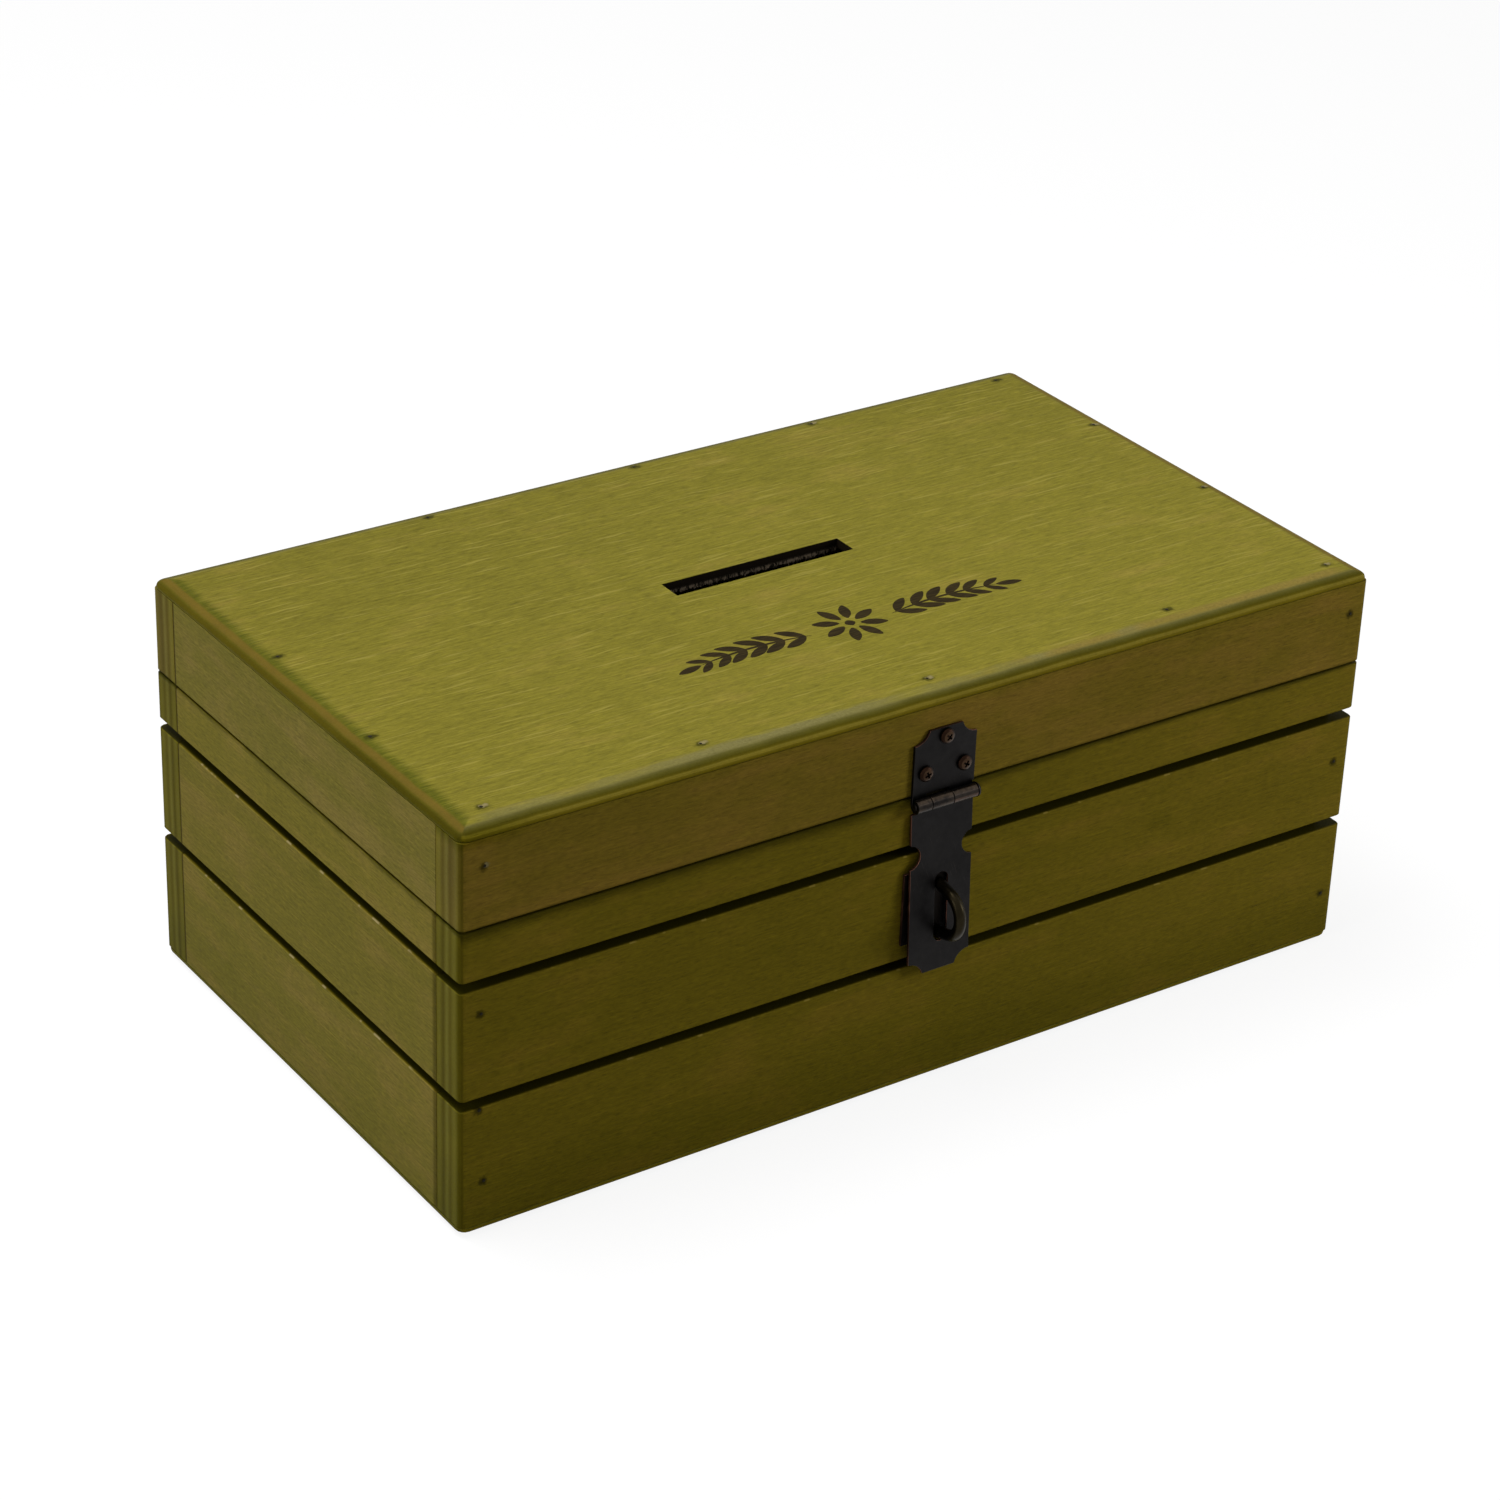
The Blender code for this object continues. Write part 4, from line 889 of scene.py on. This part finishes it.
class TIPBOX_OT_bronze_hasp(bpy.types.Operator):
    """Dresses the hasp and the hinges in antique bronze, and the staple's plate in a darker bronze that is painted
    shade
    """

    bl_idname = "tipbox.bronze_hasp"
    bl_label = "Bronze the hasp"

    def execute(self, context):
        hardware = context.scene.tip_box_hardware
        metal = bronze_metal("antique_bronze", hardware.bronze, hardware.rubbed, hardware.bare, 0.3)
        # The darker bronze is painted shade: the staple's plate lies in shadow behind the hasp's arm
        dark = bronze_metal("dark_bronze", (0.0045, 0.0034, 0.0026), hardware.rubbed, hardware.bare, 0.4)

        def sheet(node, body, coating, wear):
            softened_piece(node, "_bronzed", wear, hardware.softening, coating, body)

        def pin(node, profile, sides, rubbed, body):
            """A pin turned about the middle of its node's box."""
            low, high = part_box(node)
            centre = (0, (low.y + high.y) / 2, (low.z + high.z) / 2)
            data = surface_from(node + "_turned", [turned_along_x(centre, profile, sides)])
            set_wear(data, rubbed=rubbed)
            new_piece(node + "_turned", data, metal, body, (node,))

        sheet("hasp_plate", "lid", metal, wear_hasp)
        sheet("hasp_arm", "hasp_arm", metal, wear_hasp)
        # The staple's plate takes the bronze with painted shade
        sheet("staple_plate", "box", dark, wear_hasp)
        low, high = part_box("hasp_pin")
        head, dome, shaft = (high.z - low.z) / 2, 0.0013, 0.00105
        rise = high.x - dome
        profile = [(low.x, 0.0004), (low.x, 0.0008), (low.x + 0.0002, shaft)]
        profile += [(rise, shaft), (rise, head * 0.96)]
        quarter = np.linspace(0, np.pi / 2, 9)[:-1]
        profile += [(rise + dome * math.sin(angle), head * math.cos(angle)) for angle in quarter]
        pin("hasp_pin", profile, 32, 0.1, "lid")
        for side in ("left", "right"):
            sheet(f"{side}_hinge_box_leaf", "box", metal, wear_hinge)
            sheet(f"{side}_hinge_lid_leaf", "lid", metal, wear_hinge)
            node = f"{side}_hinge_pin"
            low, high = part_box(node)
            radius, edge = (high.z - low.z) / 2, 0.0002
            tip = radius * 0.6
            profile = [(low.x, tip), (low.x + edge, radius), (high.x - edge, radius), (high.x, tip)]
            pin(node, profile, 24, 0.5, "box")
        return {"FINISHED"}


class TIPBOX_OT_bend_staple(bpy.types.Operator):
    """Bends the staple's loop out of round wire"""

    bl_idname = "tipbox.bend_staple"
    bl_label = "Bend the staple"

    def execute(self, context):
        """Two straight legs splay towards the plate, and a round bend joins them. The upper leg's points
        are mirrored for the lower one, and both end in tenons through the plate."""
        wire, tenon, bend, splay = 0.0017, 0.0011, 0.0066, math.radians(13)
        low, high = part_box("staple_loop")
        x, z = (low.x + high.x) / 2, (low.z + high.z) / 2
        bend_y = low.y + wire + bend
        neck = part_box("staple_plate")[0].y - 0.0002
        shoulder = neck - 0.0003
        angle = np.linspace(math.pi / 2 - splay, splay - math.pi / 2, 48)
        arc = np.stack([np.full(48, x), bend_y - bend * np.cos(angle), z + bend * np.sin(angle)], axis=-1)
        spread = z + (bend / math.cos(splay) + (shoulder - bend_y) * math.tan(splay))
        upper = np.array([(x, high.y, spread), (x, neck, spread), (x, shoulder, spread)])
        lower = upper[::-1] * (1, 1, -1) + (0, 0, 2 * z)
        along = np.linspace(0, 1, 8)[1:-1, None]
        first = upper[-1] + (arc[0] - upper[-1]) * along
        last = arc[-1] + (lower[0] - arc[-1]) * along
        path = np.concatenate([upper, first, arc, last, lower])
        girths = [tenon, tenon, wire]
        radii = np.concatenate([girths, np.full(len(path) - 2 * len(girths), wire), girths[::-1]])
        hardware = context.scene.tip_box_hardware
        metal = bronze_metal("brassy_wire", (0.0145, 0.0115, 0.006), hardware.rubbed, hardware.bare, 0.2)
        data = surface_from("staple_loop_bent", [tube_along(path, radii, 28, up=(1, 0, 0))])
        new_piece("staple_loop_bent", data, metal, "box", ("staple_loop",))
        return {"FINISHED"}


class TIPBOX_OT_drive_screws(bpy.types.Operator):
    """Dresses the screws in copper brown, with recesses painted dark as shade"""

    bl_idname = "tipbox.drive_screws"
    bl_label = "Drive the screws"

    def execute(self, context):
        hardware = context.scene.tip_box_hardware
        # dark is painted shade for the screws' recesses
        worn, dark = (0.04, 0.023, 0.013), (0.0012, 0.001, 0.001)
        metal = bronze_metal("copper_brown", hardware.screw, worn, dark, 0.28)
        slots = {entry["node"]: entry["material_slot"] for entry in frame["record"]["subparts"]}
        bodies = frame["record"]["behaviour"]["bodies"]
        owner = {node: body for body, nodes in bodies.items() for node in nodes}
        for node in sorted(slots):
            if slots[node] != "copper_brown_screw":
                continue
            low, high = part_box(node)
            outward = -1 if low.y < 0 else 1
            face = low.y if outward < 0 else high.y
            middle = ((low.x + high.x) / 2, (low.z + high.z) / 2)

            def wear(centres, normals):
                """The recess takes the bare metal's place, and is painted dark as shade. The head's face is
                rubbed.
                """
                deep = (face - centres[:, 1]) * outward
                off = np.hypot(centres[:, 0] - middle[0], centres[:, 2] - middle[1])
                recess = (deep > 0.0003) & (deep < 0.0009) & (off < 0.00115)
                return recess, (~recess) & (deep < 0.0002)

            width = hardware.softening * 0.5
            softened_piece(node, "_plated", wear, width, metal, owner[node])
        return {"FINISHED"}


class TIPBOX_OT_set_stage(bpy.types.Operator):
    """Lays the floor, hangs the lamps and sets up the camera"""

    bl_idname = "tipbox.set_stage"
    bl_label = "Set the stage"

    def execute(self, context):
        scene = context.scene
        stage = scene.tip_box_stage
        scene.view_settings.view_transform = "Standard"

        white = (1, 1, 1)
        scene.world = bpy.data.worlds.new("pale_room")
        room = Bench(scene.world, "Background")
        room.finish(Color=white, Strength=room.seen() * (1 - stage.fill) + stage.fill)

        bench = Bench(bpy.data.materials.new("pale_floor"))
        shown = bench.seen()
        paint = bench.blend(shown, (0.22, 0.22, 0.22), (0.17, 0.17, 0.17))
        bench.finish(Base_Color=paint, Roughness=0.9, Specular_IOR_Level=0.0)
        bench.finish(Emission_Color=white, Emission_Strength=shown * 0.88)
        reach = 40.0
        corners = [(x * reach, y * reach, 0) for x, y in ((-1, -1), (1, -1), (1, 1), (-1, 1))]
        data = bpy.data.meshes.new("floor")
        data.from_pydata(corners, [], [(0, 1, 2, 3)])
        floor = linked("floor", data)
        coat(data, bench.owner)

        aim = Vector((0, 0, TOP_Z / 2))
        lamps = (
            ("overhead_lamp", (-0.35, 0.3, 1.5), 0.9, stage.overhead),
            ("side_lamp", (-1.3, -0.05, 0.5), 0.6, stage.side),
            ("front_lamp", (0.78, -0.65, 0.42), 0.35, stage.front),
        )
        for name, place, width, power in lamps:
            data = bpy.data.lights.new(name, "AREA")
            data.energy = power
            data.size = width
            lamp = linked(name, data)
            lamp.location = place
            lamp.rotation_euler = (aim - Vector(place)).to_track_quat("-Z", "Y").to_euler()

        data = bpy.data.cameras.new("camera")
        data.lens = stage.lens
        data.sensor_width = 36.0
        camera = linked("camera", data)
        yaw, tilt, roll = (math.radians(angle) for angle in (-34.9696, 61.6185, 2.1761))
        turn = Matrix.Rotation(yaw, 4, "Z") @ Matrix.Rotation(tilt, 4, "X") @ Matrix.Rotation(roll, 4, "Z")
        camera.matrix_world = Matrix.Translation((-0.59036, -0.83805, 0.61919)) @ turn
        scene.camera = camera
        return {"FINISHED"}


OPERATORS = (
    TIPBOX_OT_stain_boards,
    TIPBOX_OT_drive_brads,
    TIPBOX_OT_char_slot,
    TIPBOX_OT_burn_ornament,
    TIPBOX_OT_bronze_hasp,
    TIPBOX_OT_bend_staple,
    TIPBOX_OT_drive_screws,
    TIPBOX_OT_set_stage,
)
GROUPS = (
    (TipBoxStain, "tip_box_stain"),
    (TipBoxHardware, "tip_box_hardware"),
    (TipBoxMarks, "tip_box_marks"),
    (TipBoxStage, "tip_box_stage"),
)


class TIPBOX_PT_looks(bpy.types.Panel):
    """Sidebar panel with the box's colours, sizes and steps"""

    bl_idname = "TIPBOX_PT_looks"
    bl_label = "Tip Box"
    bl_space_type = "VIEW_3D"
    bl_region_type = "UI"
    bl_category = "Tip Box"

    def draw(self, context):
        for group, name in GROUPS:
            column = self.layout.column()
            settings = getattr(context.scene, name)
            for key in group.__annotations__:
                column.prop(settings, key)
        for operator in OPERATORS:
            self.layout.operator(operator.bl_idname)


def register():
    for group, name in GROUPS:
        bpy.utils.register_class(group)
        setattr(bpy.types.Scene, name, PointerProperty(type=group))
    for kind in (*OPERATORS, TIPBOX_PT_looks):
        bpy.utils.register_class(kind)


def unregister():
    for kind in reversed((*OPERATORS, TIPBOX_PT_looks)):
        bpy.utils.unregister_class(kind)
    for group, name in reversed(GROUPS):
        delattr(bpy.types.Scene, name)
        bpy.utils.unregister_class(group)


def main():
    register()
    for operator in OPERATORS:
        group, name = operator.bl_idname.split(".")
        getattr(getattr(bpy.ops, group), name)()


if __name__ == "__main__":
    main()
